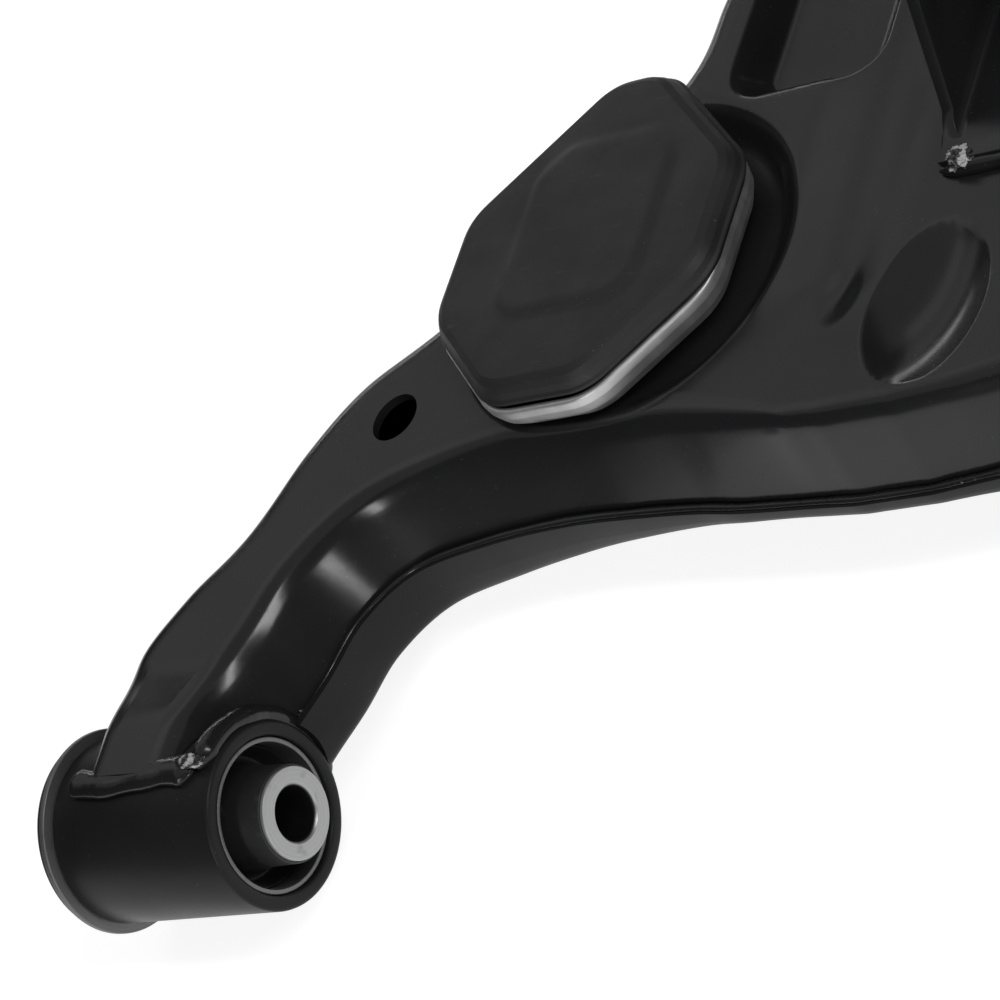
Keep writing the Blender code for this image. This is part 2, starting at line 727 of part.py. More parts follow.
def circlip(group, cutters):
    item = turned("ball_joint_circlip", group, (
        (22.8, -10.2), (22.8, -12.3), (19.6, -12.3), (19.6, -10.2)), bare_steel(), 24)
    place(item, BALL_X, BALL_Y, 0)
    slot = as_cutter(block("circlip_slot", cutters, (BALL_X - 4, BALL_Y + 15, -16),
                           (BALL_X + 4, BALL_Y + 30, -7)))
    cut(item, slot)
    return item


def castle_nut(group, cutters):
    item = turned("castle_nut", group, (
        (0, 92.5), (9.4, 92.5), (10, 92), (10, 86), (12.7, 86), (12.7, 77), (11.8, 76), (0, 76)),
        zinc_steel(), 6)
    place(item, BALL_X, BALL_Y, 0)
    vertical_hole(item, cutters, "castle_nut_bore", (BALL_X, BALL_Y), 7.4, 70, 100, 24)
    for k in range(3):
        slot = as_cutter(block("nut_slot_%d" % k, cutters, (-15, -2.2, 87.6), (15, 2.2, 95)))
        slot.location = (BALL_X * MM, BALL_Y * MM, 0.0)
        slot.rotation_euler = (0.0, 0.0, math.pi / 3 * k)
        cut(item, slot)
    return item


def cotter_pin(group):
    """One pin with a round eye, its legs bent up and down past the nut."""
    pin = 1.25
    curve = bpy.data.curves.new("cotter_pin", "CURVE")
    curve.dimensions = "3D"
    curve.bevel_depth = pin * MM
    curve.bevel_resolution = 1
    curve.use_fill_caps = True
    route = [(-13.5, 0, 0), (-9, 0, 0), (9, 0, 0), (12.2, 0, 0.4), (13.6, 0, 2.0), (13.8, 0, 6.5)]
    line = curve.splines.new("POLY")
    line.points.add(len(route) - 1)
    for point, (x, y, z) in zip(line.points, route):
        point.co = (x * MM, y * MM, z * MM, 1.0)
    drawn = bpy.data.objects.new("cotter_route", curve)
    group.objects.link(drawn)
    bpy.context.view_layer.update()
    source = drawn.evaluated_get(bpy.context.evaluated_depsgraph_get())
    mesh = bpy.data.meshes.new_from_object(source)
    bpy.data.objects.remove(drawn, do_unlink=True)
    bm = bmesh.new()
    bm.from_mesh(mesh)
    bmesh.ops.remove_doubles(bm, verts=bm.verts, dist=0.00001)
    bmesh.ops.recalc_face_normals(bm, faces=bm.faces)
    bm.to_mesh(mesh)
    bm.free()
    mesh.materials.clear()
    item = link(mesh, "cotter_pin", group, zinc_steel())
    return place(item, BALL_X, BALL_Y, 89.5)


def main():
    clear_scene()
    parts = new_collection("control_arm")
    cutters = new_collection("cutters")
    saddles = saddle_cutters(cutters)
    upper_shell(parts, cutters, saddles)
    lower_shell(parts, cutters, saddles)
    inner_brace(parts)
    bush("front", -1, parts)
    bush("rear", 1, parts)
    bumper_dish(parts, cutters)
    bumper_rubber(parts, cutters)
    bumper_fixings(parts, cutters)
    shock_bracket(parts, cutters)
    shock_weld_nut(parts)
    link_weld_nut(parts)
    ball_joint(parts, cutters)


main()
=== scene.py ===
import math

import bmesh
import bpy
from mathutils import Matrix, Vector, noise


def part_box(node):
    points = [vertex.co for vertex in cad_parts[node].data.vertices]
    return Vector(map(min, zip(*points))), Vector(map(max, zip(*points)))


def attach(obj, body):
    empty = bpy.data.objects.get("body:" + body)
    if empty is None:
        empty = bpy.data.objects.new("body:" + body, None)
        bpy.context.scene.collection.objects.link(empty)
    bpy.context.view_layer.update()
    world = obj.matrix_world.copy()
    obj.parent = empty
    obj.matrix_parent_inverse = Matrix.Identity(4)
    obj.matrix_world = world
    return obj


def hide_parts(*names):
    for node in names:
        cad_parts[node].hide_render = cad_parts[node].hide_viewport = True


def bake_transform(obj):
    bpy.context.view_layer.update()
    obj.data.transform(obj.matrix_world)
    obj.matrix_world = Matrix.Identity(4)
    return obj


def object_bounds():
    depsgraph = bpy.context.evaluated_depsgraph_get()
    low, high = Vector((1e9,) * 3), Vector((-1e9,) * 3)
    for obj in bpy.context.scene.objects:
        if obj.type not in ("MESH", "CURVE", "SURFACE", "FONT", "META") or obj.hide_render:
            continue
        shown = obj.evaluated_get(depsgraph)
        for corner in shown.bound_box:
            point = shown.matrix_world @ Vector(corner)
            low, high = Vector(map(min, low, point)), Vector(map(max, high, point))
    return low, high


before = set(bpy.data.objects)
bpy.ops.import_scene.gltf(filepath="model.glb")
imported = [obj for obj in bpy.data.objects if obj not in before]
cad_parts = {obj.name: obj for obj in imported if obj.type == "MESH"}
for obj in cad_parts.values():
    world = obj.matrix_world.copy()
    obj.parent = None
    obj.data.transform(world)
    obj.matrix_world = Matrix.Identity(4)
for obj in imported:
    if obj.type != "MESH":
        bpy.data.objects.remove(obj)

MM = 0.001
start_low, start_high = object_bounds()


def corners(node):
    """A CAD node's lowest and highest corner in millimetres."""
    low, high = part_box(node)
    return low / MM, high / MM


# Driving sizes, read from the CAD nodes
TUBE_LOW, TUBE_HIGH = corners("rear_bush_tube")
RING_LOW, RING_HIGH = corners("ball_joint_ring")
DISH_LOW = corners("bumper_dish")[0]
PAD_LOW = corners("bumper_rubber")[0]
SLEEVE_LOW, SLEEVE_HIGH = corners("rear_bush_sleeve")
BRACKET_LOW, BRACKET_HIGH = corners("shock_bracket")

PIVOT_X = (SLEEVE_LOW.x + SLEEVE_HIGH.x) / 2
TUBE_RADIUS = TUBE_HIGH.z
TUBE_BORE = 23.3
TUBE_NEAR = PIVOT_X - TUBE_LOW.x
TUBE_FAR = TUBE_HIGH.x - PIVOT_X
SLEEVE_RADIUS = SLEEVE_HIGH.z
SLEEVE_BORE = 8.1
SLEEVE_HALF = (SLEEVE_HIGH.x - SLEEVE_LOW.x) / 2
CAN_RADIUS = 23.0
CAN_BORE = 21.5
FLANGE_RADIUS = 31.0

SHEET = 3.0
GAP = 0.3
LAP = SHEET + GAP
TOP = 28.0
TUBE_TOP = TUBE_RADIUS + SHEET + 0.7
TIP_TOP = 27.0
LEG_FLOOR = -17.0
ARCH_FLOOR = -5.5
BODY_FLOOR = -9.0
LEG_HOLE = (-163.0, 118.0)
LEG_HOLE_RADIUS = 8.3

PAD_CENTRE = (-92.5, 161.0)
PAD_SIDES = (52.2, 50.5, 59.8, 49.3, 53.6, 54.8, 56.4, 52.2)
DISH_SIDES = (49.4, 48.2, 58.0, 48.0, 52.8, 54.6, 57.2, 51.8)
SEAT_CENTRE = (-87.0, 158.0)
SEAT_RADIUS = 60.0
SEAT_DEPTH = 6.2
RIM_HEIGHT = 37.0
PAD_TOP = 46.5

POCKET_X = (-70.0, -17.0)
POCKET_Y = (216.0, 296.0)
POCKET_FLOOR = 18.0
POCKET_CORNER = 13.0
LINK_HOLE = (-43.5, 267.0)
LINK_HOLE_RADIUS = 6.3

VALLEY_X = -10.0            # shallow trough along the body, between the pocket and the clevis
VALLEY_HALF = 26.0
VALLEY_DEPTH = 2.6
DIMPLE_CENTRE = (28.0, 124.0)
DIMPLE_HALF = (20.0, 27.0)
DIMPLE_DEPTH = 6.5
DENT_CENTRE = (-5.0, 133.0)
DENT_HALF = (9.0, 14.0)
DENT_DEPTH = 1.1

BOLT_Y = 238.0
BOLT_Z = 76.0
CLEVIS_HOLE_RADIUS = 7.3
EAR_SHEET = 4.0
EAR_LOW = BRACKET_LOW.x
EAR_HIGH = BRACKET_HIGH.x

BALL = Vector(((RING_LOW.x + RING_HIGH.x) / 2, (RING_LOW.y + RING_HIGH.y) / 2, 14.0))
BALL_RADIUS = 17.0
RING_RADIUS = (RING_HIGH.x - RING_LOW.x) / 2
RING_BORE = 27.3
BOSS_RADIUS = 46.0
PIN_HEIGHT = 89.5

FRONT_STATIONS = (
    ((-191, -2), (-246, -2), 1.0), ((-190, 22), (-247, 26), 1.0), ((-182, 44), (-247, 48), 0.95),
    ((-176, 64), (-235, 69), 0.8), ((-160, 80), (-219, 88), 0.8), ((-132, 87), (-206, 116), 1.0),
    ((-104, 90), (-189, 140), 1.05), ((-80, 90), (-160, 161), 1.0), ((-58, 89), (-131, 195), 0.95),
    ((-43, 87.3), (-98, 232), 0.9), ((-31, 86.4), (-91, 270), 0.8), ((-21, 85.7), (-60, 326), 0.7),
    ((-13, 85.1), (-36, 360), 0.6),
)
REAR_STATIONS = (
    ((37, 85.1), (76, 360), 0.6), ((45, 85.7), (98, 326), 0.6), ((54, 86.4), (122, 280), 0.65),
    ((64, 87.3), (142, 238), 0.7), ((76, 88.2), (164, 200), 0.8), ((90, 90), (184, 166), 0.9),
    ((110, 90), (199, 138), 1.0), ((134, 87), (211, 112), 1.0), ((160, 80), (221, 88), 0.8),
    ((176, 64), (236, 70), 0.8), ((182, 44), (247, 48), 0.95), ((190, 22), (247, 26), 1.0),
    ((191, -2), (246, -2), 1.0),
)
TIP_ANGLES = (180, 150, 120, 90, 60, 30, 0)
INNER_WALL = ((8, 0.64), (11.5, 0.87), (15.5, 0.97), (21, 1.0))
OUTER_WALL = ((4, 0.6), (7, 0.85), (11, 0.97), (17, 1.0))
LOWER_WALL = ((1.3, 0.7), (4.5, 0.95), (10, 1.0))

LINE_SPACING = 2.2          # widest gap between two lines of the loft
COLUMNS = 160               # loft columns across the plain top
FLOOR_COLUMNS = 24
WALL_PARTS = 4              # columns between two points of a wall section
ROUND = 96                  # sides of a turned piece


# ---------------------------------------------------------------- materials

class Finish:
    """A Principled material whose texture nodes read the piece's own coordinates in metres."""

    def __init__(self, name, color, roughness, metallic=0.0, **constants):
        self.material = bpy.data.materials.new(name)
        self.material.use_nodes = True
        self.nodes = self.material.node_tree.nodes
        self.links = self.material.node_tree.links
        self.shader = self.nodes["Principled BSDF"]
        self.place = self.nodes.new("ShaderNodeTexCoord").outputs["Object"]
        self.shader.inputs["Base Color"].default_value = (*color, 1.0)
        self.shader.inputs["Roughness"].default_value = roughness
        self.shader.inputs["Metallic"].default_value = metallic
        for socket, value in constants.items():
            self.shader.inputs[socket.replace("_", " ")].default_value = value
        self.color = None
        self.roughness = None
        self.relief = None

    def noise(self, scale, detail=3.0, place=None):
        node = self.nodes.new("ShaderNodeTexNoise")
        node.inputs["Scale"].default_value = scale
        node.inputs["Detail"].default_value = detail
        self.links.new(place or self.place, node.inputs["Vector"])
        return node.outputs["Fac"]

    def stretched(self, scale):
        node = self.nodes.new("ShaderNodeMapping")
        node.inputs["Scale"].default_value = scale
        self.links.new(self.place, node.inputs["Vector"])
        return node.outputs["Vector"]

    def round_about(self, centre, axis, along=0.0):
        """Coordinates that only change with the distance from an axis, for turning marks."""
        offset = self.vector_math("SUBTRACT", self.place, centre)["Vector"]
        across = self.vector_math("MULTIPLY", offset, [float(i != axis) for i in range(3)])["Vector"]
        join = self.nodes.new("ShaderNodeCombineXYZ")
        self.links.new(self.vector_math("LENGTH", across)["Value"], join.inputs["X"])
        self.links.new(self.math("MULTIPLY", self.part(offset, axis), along), join.inputs["Y"])
        return join.outputs["Vector"]

    def vector_math(self, operation, vector, other=(0.0, 0.0, 0.0)):
        """The outputs of a vector maths node that works on a vector and a constant."""
        node = self.nodes.new("ShaderNodeVectorMath")
        node.operation = operation
        node.inputs[1].default_value = other
        self.links.new(vector, node.inputs[0])
        return node.outputs

    def part(self, vector, axis):
        split = self.nodes.new("ShaderNodeSeparateXYZ")
        self.links.new(vector, split.inputs["Vector"])
        return split.outputs[axis]

    def math(self, operation, a, b):
        node = self.nodes.new("ShaderNodeMath")
        node.operation = operation
        for socket, value in zip(node.inputs, (a, b)):
            if isinstance(value, (int, float)):
                socket.default_value = value
            else:
                self.links.new(value, socket)
        return node.outputs["Value"]

    def remap(self, value, low, high, first=0.0, last=1.0):
        node = self.nodes.new("ShaderNodeMapRange")
        self.links.new(value, node.inputs["Value"])
        for socket, number in zip(("From Min", "From Max", "To Min", "To Max"), (low, high, first, last)):
            node.inputs[socket].default_value = number
        return node.outputs["Result"]

    def tint(self, amount, color):
        """Mixes a colour over what is there, by an amount from 0 to 1."""
        node = self.nodes.new("ShaderNodeMix")
        node.data_type = "RGBA"
        self.links.new(amount, node.inputs["Factor"])
        under, over = [socket for socket in node.inputs if socket.type == "RGBA"]
        if self.color is None:
            under.default_value = self.shader.inputs["Base Color"].default_value
        else:
            self.links.new(self.color, under)
        over.default_value = (*color, 1.0)
        self.color = next(socket for socket in node.outputs if socket.type == "RGBA")

    def roughen(self, amount, reach):
        """Adds up to reach to the roughness, by an amount from 0 to 1."""
        base = self.roughness
        if base is None:
            base = self.shader.inputs["Roughness"].default_value
        self.roughness = self.math("ADD", base, self.math("MULTIPLY", amount, reach))

    def bump(self, height, depth):
        """Relief of a height from 0 to 1, depth in millimetres."""
        node = self.nodes.new("ShaderNodeBump")
        node.inputs["Strength"].default_value = 1.0
        node.inputs["Distance"].default_value = depth * MM
        self.links.new(height, node.inputs["Height"])
        if self.relief is not None:
            self.links.new(self.relief, node.inputs["Normal"])
        self.relief = node.outputs["Normal"]

    def edge_wear(self, low, high):
        """Convex edges, from the mesh's own pointiness."""
        return self.remap(self.nodes.new("ShaderNodeNewGeometry").outputs["Pointiness"], low, high)

    def done(self):
        for source, socket in ((self.color, "Base Color"), (self.roughness, "Roughness"),
                               (self.relief, "Normal")):
            if source is not None:
                self.links.new(source, self.shader.inputs[socket])
        return self.material


def black_paint(name, roughness, gloss):
    """Satin electro-coat over pressed steel: faint orange peel, dust and small runs."""
    look = Finish(name, (0.0095, 0.0098, 0.0105), roughness, Specular_IOR_Level=gloss)
    look.tint(look.remap(look.noise(18), 0.35, 0.7), (0.014, 0.0143, 0.015))
    look.tint(look.remap(look.noise(1400, 1), 0.76, 0.8, 0.0, 0.5), (0.09, 0.09, 0.088))
    look.roughen(look.remap(look.noise(30), 0.3, 0.7), 0.07)
    look.roughen(look.remap(look.noise(700, 2), 0.6, 0.75), 0.06)
    look.bump(look.noise(420, 2), 0.008)
    look.bump(look.noise(60, 2), 0.04)
    return look.done()


def glinting_weld_paint():
    """The same coat on rough weld metal, with bright grey spots that are painted glints."""
    look = Finish("glinting_weld_paint", (0.012, 0.012, 0.013), 0.24)
    # Painted highlight: the bright grey spots stand in for glints on the weld metal.
    look.tint(look.remap(look.noise(300, 3), 0.5, 0.58), (0.42, 0.42, 0.42))
    look.roughen(look.remap(look.noise(160), 0.35, 0.65), 0.2)
    look.bump(look.noise(500, 3), 0.25)
    return look.done()


def moulded_rubber(name, shade, roughness, grain, dust):
    """Plain moulded rubber with a fine grain, greyer patches and dust."""
    look = Finish(name, (shade, shade, shade * 1.02), roughness, Specular_IOR_Level=0.4)
    look.tint(look.remap(look.noise(25), 0.4, 0.75, 0.0, 0.5), (shade * 1.9, shade * 1.9, shade * 1.9))
    look.tint(look.remap(look.noise(230, 5), 0.62, 0.8, 0.0, dust), (0.085, 0.082, 0.078))
    look.tint(look.remap(look.noise(1600, 1), 0.75, 0.8, 0.0, dust), (0.12, 0.118, 0.112))
    look.roughen(look.remap(look.noise(55), 0.35, 0.7), 0.12)
    look.bump(look.noise(900, 3), grain)
    look.bump(look.noise(90, 2), grain * 3)
    return look.done()


def scuffed_rubber():
    """Scuffed moulded rubber: fine scratches, lighter patches, dust specks and lighter convex edges."""
    shade = 0.0095
    look = Finish("bumper_rubber_fine", (shade, shade, shade), 0.52, Specular_IOR_Level=0.42)
    look.tint(look.remap(look.noise(22, 4), 0.42, 0.72, 0.0, 0.55), (0.015, 0.015, 0.0148))
    scuffs = look.noise(70, 4, look.stretched((1.0, 7.0, 1.0)))
    look.tint(look.remap(scuffs, 0.66, 0.76, 0.0, 0.22), (0.09, 0.088, 0.084))
    look.tint(look.remap(look.noise(1300, 1), 0.755, 0.8, 0.0, 0.6), (0.11, 0.11, 0.105))
    look.tint(look.edge_wear(0.55, 0.63), (0.05, 0.05, 0.048))
    look.roughen(look.remap(look.noise(45, 4), 0.35, 0.7), 0.14)
    look.bump(look.noise(1100, 3), 0.02)
    look.bump(look.noise(75, 2), 0.1)
    return look.done()


def turned_steel(name, color, roughness, centre, axis, marks=0.012, bore=0.0):
    """Machined steel with fine turning marks round an axis, stains, and painted shade that darkens a bore's
    inner wall.
    """
    look = Finish(name, color, roughness, 0.75)
    rings = look.round_about([c * MM for c in centre], axis, 1.0)
    lines = look.noise(2600, 2, rings)
    look.tint(look.remap(lines, 0.35, 0.7, 0.0, 0.55), tuple(c * 0.72 for c in color))
    look.tint(look.remap(look.noise(160, 4), 0.6, 0.75, 0.0, 0.5), tuple(c * 0.45 for c in color))
    if bore > 0.0:
        # Painted shade: inside the bore's radius the colour turns near black, standing in for the shade
        # inside the hole.
        inside = look.remap(look.part(rings, "X"), bore * MM, (bore + 0.4) * MM, 1.0, 0.0)
        look.tint(inside, (0.02, 0.02, 0.02))
    look.roughen(look.remap(look.noise(1800, 2, rings), 0.3, 0.7), 0.12)
    look.bump(lines, marks)
    return look.done()


def plated_steel():
    """Zinc plate: slightly mottled, with a few dull spots."""
    look = Finish("zinc_steel_fine", (0.47, 0.475, 0.47), 0.36, 1.0)
    look.tint(look.remap(look.noise(320, 4), 0.45, 0.7, 0.0, 0.7), (0.3, 0.3, 0.29))
    look.tint(look.edge_wear(0.52, 0.58), (0.62, 0.62, 0.62))
    look.roughen(look.remap(look.noise(200, 3), 0.35, 0.7), 0.18)
    look.bump(look.noise(900, 2), 0.015)
    return look.done()


def dish_steel():
    """Satin pressed steel with drawing marks and darker patches."""
    look = Finish("dish_steel_fine", (0.5, 0.5, 0.502), 0.4, 0.85)
    look.tint(look.remap(look.noise(35, 4), 0.4, 0.7, 0.0, 0.7), (0.38, 0.38, 0.38))
    drawn = look.noise(260, 3, look.stretched((1.0, 1.0, 0.12)))
    look.tint(look.remap(drawn, 0.5, 0.75, 0.0, 0.5), (0.62, 0.62, 0.62))
    look.roughen(look.remap(look.noise(120, 4), 0.35, 0.7), 0.16)
    look.bump(drawn, 0.02)
    look.bump(look.noise(700, 2), 0.012)
    return look.done()


def forged_steel():
    """Phosphated forging: dark, grainy, with brighter edges."""
    look = Finish("forged_steel_fine", (0.11, 0.11, 0.112), 0.48, 1.0)
    look.tint(look.remap(look.noise(240, 5), 0.4, 0.7, 0.0, 0.8), (0.065, 0.065, 0.068))
    look.tint(look.edge_wear(0.52, 0.58), (0.3, 0.3, 0.29))
    look.roughen(look.remap(look.noise(90, 4), 0.3, 0.7), 0.15)
    look.bump(look.noise(650, 4), 0.05)
    return look.done()


def liner_plastic():
    """Cream-coloured bearing plastic."""
    look = Finish("liner_plastic_fine", (0.72, 0.69, 0.6), 0.42, Subsurface_Weight=0.1)
    look.tint(look.remap(look.noise(120), 0.4, 0.7), (0.64, 0.6, 0.5))
    look.bump(look.noise(800, 2), 0.01)
    return look.done()


PAINT = black_paint("black_paint_fine", 0.17, 0.32)
DULL_PAINT = black_paint("black_paint_dull", 0.34, 0.12)
WELD = glinting_weld_paint()
ZINC = plated_steel()
DISH = dish_steel()
FORGED = forged_steel()
CAN_STEEL = turned_steel("can_steel_fine", (0.16, 0.16, 0.16), 0.42, (0, 0, 0), 0)
SLEEVE_STEEL = turned_steel("sleeve_steel_fine", (0.36, 0.362, 0.365), 0.4, (0, 0, 0), 0, 0.02,
                            SLEEVE_BORE + 0.2)
STUD_STEEL = turned_steel("stud_steel_fine", (0.36, 0.36, 0.36), 0.34, BALL, 2)
BUMPER_RUBBER = scuffed_rubber()
BUSH_RUBBER = moulded_rubber("bush_rubber_fine", 0.009, 0.5, 0.02, 0.25)
BOOT_RUBBER = moulded_rubber("boot_rubber_fine", 0.013, 0.44, 0.015, 0.3)
LINER = liner_plastic()


# ---------------------------------------------------------------- mesh helpers

def in_scene(name, data):
    """A new object for a mesh, light or camera, in the scene but on no body."""
    item = bpy.data.objects.new(name, data)
    bpy.context.scene.collection.objects.link(item)
    return item


def add_piece(name, mesh, material, body="arm", replaces=(), sharp=40.0):
    """Puts a finished mesh in the scene, smooth apart from its sharp edges, on its body."""
    item = in_scene(name, mesh)
    mesh.materials.clear()
    mesh.materials.append(material)
    mesh.shade_smooth()
    mesh.set_sharp_from_angle(angle=math.radians(sharp))
    if body is not None:
        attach(item, body)
    if replaces:
        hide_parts(*replaces)
    return item


def stand_in(node, mesh, material, body="arm", sharp=40.0):
    """Adds the fine mesh of one CAD node in its place."""
    add_piece(node + "_fine", mesh, material, body, [node], sharp)


def made_mesh(name, points, faces):
    """A mesh from points in millimetres."""
    mesh = bpy.data.meshes.new(name)
    mesh.from_pydata([(x * MM, y * MM, z * MM) for x, y, z in points], [], faces)
    return mesh


def outwards(mesh):
    """Turns the faces of a closed mesh outwards."""
    bm = bmesh.new()
    bm.from_mesh(mesh)
    bmesh.ops.recalc_face_normals(bm, faces=bm.faces)
    bm.to_mesh(mesh)
    bm.free()
    return mesh


def with_modifiers(mesh, add):
    """The mesh after add(object) has put modifiers on it. Helper objects come back from add."""
    item = in_scene(mesh.name, mesh)
    helpers = add(item) or []
    bpy.context.view_layer.update()
    graph = bpy.context.evaluated_depsgraph_get()
    result = bpy.data.meshes.new_from_object(item.evaluated_get(graph), depsgraph=graph)
    result.name = mesh.name
    for leftover in [item] + list(helpers):
        bpy.data.objects.remove(leftover, do_unlink=True)
    return result


def boolean(item, cutter_mesh, mode="DIFFERENCE"):
    """Adds an exact Boolean with a cutter to item, and returns the cutter's object."""
    cutter = in_scene("cutter", cutter_mesh)
    step = item.modifiers.new("cut", "BOOLEAN")
    step.operation = mode
    step.object = cutter
    step.solver = "EXACT"
    return cutter


def pierced(mesh, *cutters):
    """The mesh with other meshes cut out of it."""
    return with_modifiers(mesh, lambda item: [boolean(item, cutter) for cutter in cutters])


def rounded(points, radius, closed=True, parts=3):
    """Rounds the corners of a polyline. Its ends stay where they are if it is open."""
    if radius == 0.0:
        return list(points)
    result = []
    count = len(points)
    for i, point in enumerate(points):
        here = Vector(point)
        if not closed and i in (0, count - 1):
            result.append(tuple(here))
            continue
        before = Vector(points[i - 1]) - here
        after = Vector(points[(i + 1) % count]) - here
        if before.length < 0.01 or after.length < 0.01:
            continue
        turn = math.pi - before.angle(after)
        if turn < math.radians(12):
            result.append(tuple(here))
            continue
        reach = min(radius * math.tan(turn / 2), before.length * 0.45, after.length * 0.45)
        first = here + before.normalized() * reach
        last = here + after.normalized() * reach
        for k in range(parts + 1):
            u = k / parts
            result.append(tuple(first.lerp(here, u).lerp(here.lerp(last, u), u)))
    return result


AXES = {
    "z": Matrix.Identity(3),
    "x": Matrix(((0, 0, 1), (1, 0, 0), (0, 1, 0))),
    "-x": Matrix(((0, 0, -1), (-1, 0, 0), (0, 1, 0))),
}


def turned(name, profile, centre, axis="z", sides=ROUND, soft=0.5, turn=0.0):
    """A closed profile of (radius, height) points turned about an axis through centre.

    A profile that begins and ends at radius 0 is closed by the axis.
    """
    solid = profile[0][0] == 0
    line = rounded(profile, soft, closed=not solid)
    points = []
    rings = []
    for radius, height in line:
        if radius < 1e-6:
            rings.append([len(points)])
            points.append((0.0, 0.0, height))
            continue
        rings.append(list(range(len(points), len(points) + sides)))
        for k in range(sides):
            angle = math.tau * k / sides + turn
            points.append((radius * math.cos(angle), radius * math.sin(angle), height))
    faces = []
    pairs = list(zip(rings, rings[1:]))
    if not solid:
        pairs.append((rings[-1], rings[0]))
    for a, b in pairs:
        for k in range(sides):
            k2 = (k + 1) % sides
            corner = [a[k % len(a)], a[k2 % len(a)], b[k2 % len(b)], b[k % len(b)]]
            faces.append(tuple(dict.fromkeys(corner)))
    matrix = AXES[axis]
    centre = Vector(centre)
    return outwards(made_mesh(name, [centre + matrix @ Vector(p) for p in points], faces))


def rod(x, y, radius, low, high, sides=64):
    """An upright round cutter."""
    return turned("rod", [(0, low), (radius, low), (radius, high), (0, high)], (x, y, 0), "z", sides, 0.0)


def tube_along(name, path, radius_at, sides=12, flat=1.0, up=Vector((0, 0, 1))):
    """A closed tube along a path of points, its radius given for each share of the length."""
    points = []
    faces = []
    count = len(path)
    for i, point in enumerate(path):
        here = Vector(point)
        along = (Vector(path[min(i + 1, count - 1)]) - Vector(path[max(i - 1, 0)])).normalized()
        side = along.cross(up).normalized()
        lift = side.cross(along)
        for k in range(sides):
            angle = math.tau * k / sides
            radius = radius_at(i / (count - 1), angle, here)
            points.append(here + side * radius * math.cos(angle) + lift * radius * flat * math.sin(angle))
    for i in range(count - 1):
        for k in range(sides):
            k2 = (k + 1) % sides
            faces.append((i * sides + k, i * sides + k2, (i + 1) * sides + k2, (i + 1) * sides + k))
    faces.append(tuple(range(sides)))
    faces.append(tuple(range((count - 1) * sides, count * sides)))
    return outwards(made_mesh(name, points, faces))


def smooth(value):
    """A soft step from 0 to 1, level at both ends."""
    value = min(1.0, max(0.0, value))
    return value * value * (3.0 - 2.0 * value)


def weld_radius(radius, rough, ripple=0.04):
    """Bead width with ripples of the weld pool, uneven runs and round ends."""
    def at(share, angle, place):
        ends = min(1.0, 12.0 * share, 12.0 * (1.0 - share))
        wave = ripple * math.sin(place.x * 2.9 + place.y * 2.9 + 1.2 * math.sin(angle))
        uneven = 0.22 * noise.noise(place * 0.09) + rough * noise.noise(place * 0.7)
        return max(0.15, radius * math.sqrt(max(ends, 0.02)) * (1.0 + wave + uneven))
    return at


def bead(name, path, width, sides, flat, up=Vector((0, 0, 1))):
    """A painted weld bead along a path."""
    mesh = tube_along(name, path, width, sides, flat, up)
    add_piece(name, mesh, PAINT, sharp=180.0)


def blob(name, centre, size, rough, seed):
    """A lump of weld metal, sized along x, y and z, pitted by noise."""
    bm = bmesh.new()
    bmesh.ops.create_icosphere(bm, subdivisions=5, radius=1.0)
    for vert in bm.verts:
        place = vert.co * 1.6 + Vector((seed, 0, 0))
        swell = 1.0 + 0.3 * noise.noise(place) + rough * noise.noise(place * 3.5)
        swell += 0.5 * rough * noise.noise(place * 8.0)
        vert.co = [(c + v * s * swell) * MM for c, v, s in zip(centre, vert.co, size)]
    mesh = bpy.data.meshes.new(name)
    bm.to_mesh(mesh)
    bm.free()
    add_piece(name, mesh, WELD, sharp=180.0)


# ---------------------------------------------------------------- stamped shells

def spline(points, steps):
    """A Catmull-Rom curve through points of any length, steps(a, b) parts to the span a to b."""
    result = []
    last = len(points) - 1
    for i in range(last):
        a, b, c, d = (points[max(i - 1, 0)], points[i], points[i + 1], points[min(i + 2, last)])
        parts = steps(b, c)
        for k in range(parts):
            u = k / parts
            result.append(tuple(
                0.5 * (2 * q + (r - p) * u + (2 * p - 5 * q + 4 * r - s) * u * u
                       + (3 * q - p - 3 * r + s) * u * u * u)
                for p, q, r, s in zip(a, b, c, d)))
    result.append(tuple(points[last]))
    return result


def stations():
    """Inner x, y, outer x, y and wall slope along the whole wishbone."""
    rows = [(*inner, *outer, slope) for inner, outer, slope in FRONT_STATIONS]
    for k, angle in enumerate(TIP_ANGLES):
        turn = math.radians(angle)
        rows.append((12 + (k - 3) * 6.0, 84 + 0.5 * (k in (0, 6)), BALL.x + BOSS_RADIUS * math.cos(turn),
                     BALL.y + BOSS_RADIUS * math.sin(turn), 0.6))
    rows += [(*inner, *outer, slope) for inner, outer, slope in REAR_STATIONS]
    return rows


def rounded_box_distance(x, y, x_range, y_range, corner):
    """Signed distance to a rectangle with round corners, negative inside."""
    half_x = (x_range[1] - x_range[0]) / 2 - corner
    half_y = (y_range[1] - y_range[0]) / 2 - corner
    dx = abs(x - sum(x_range) / 2) - half_x
    dy = abs(y - sum(y_range) / 2) - half_y
    outside = math.hypot(max(dx, 0.0), max(dy, 0.0))
    return outside + min(max(dx, dy), 0.0) - corner


def oval(x, y, centre, half):
    """0 at an oval's centre and 1 on its rim."""
    return math.hypot((x - centre[0]) / half[0], (y - centre[1]) / half[1])


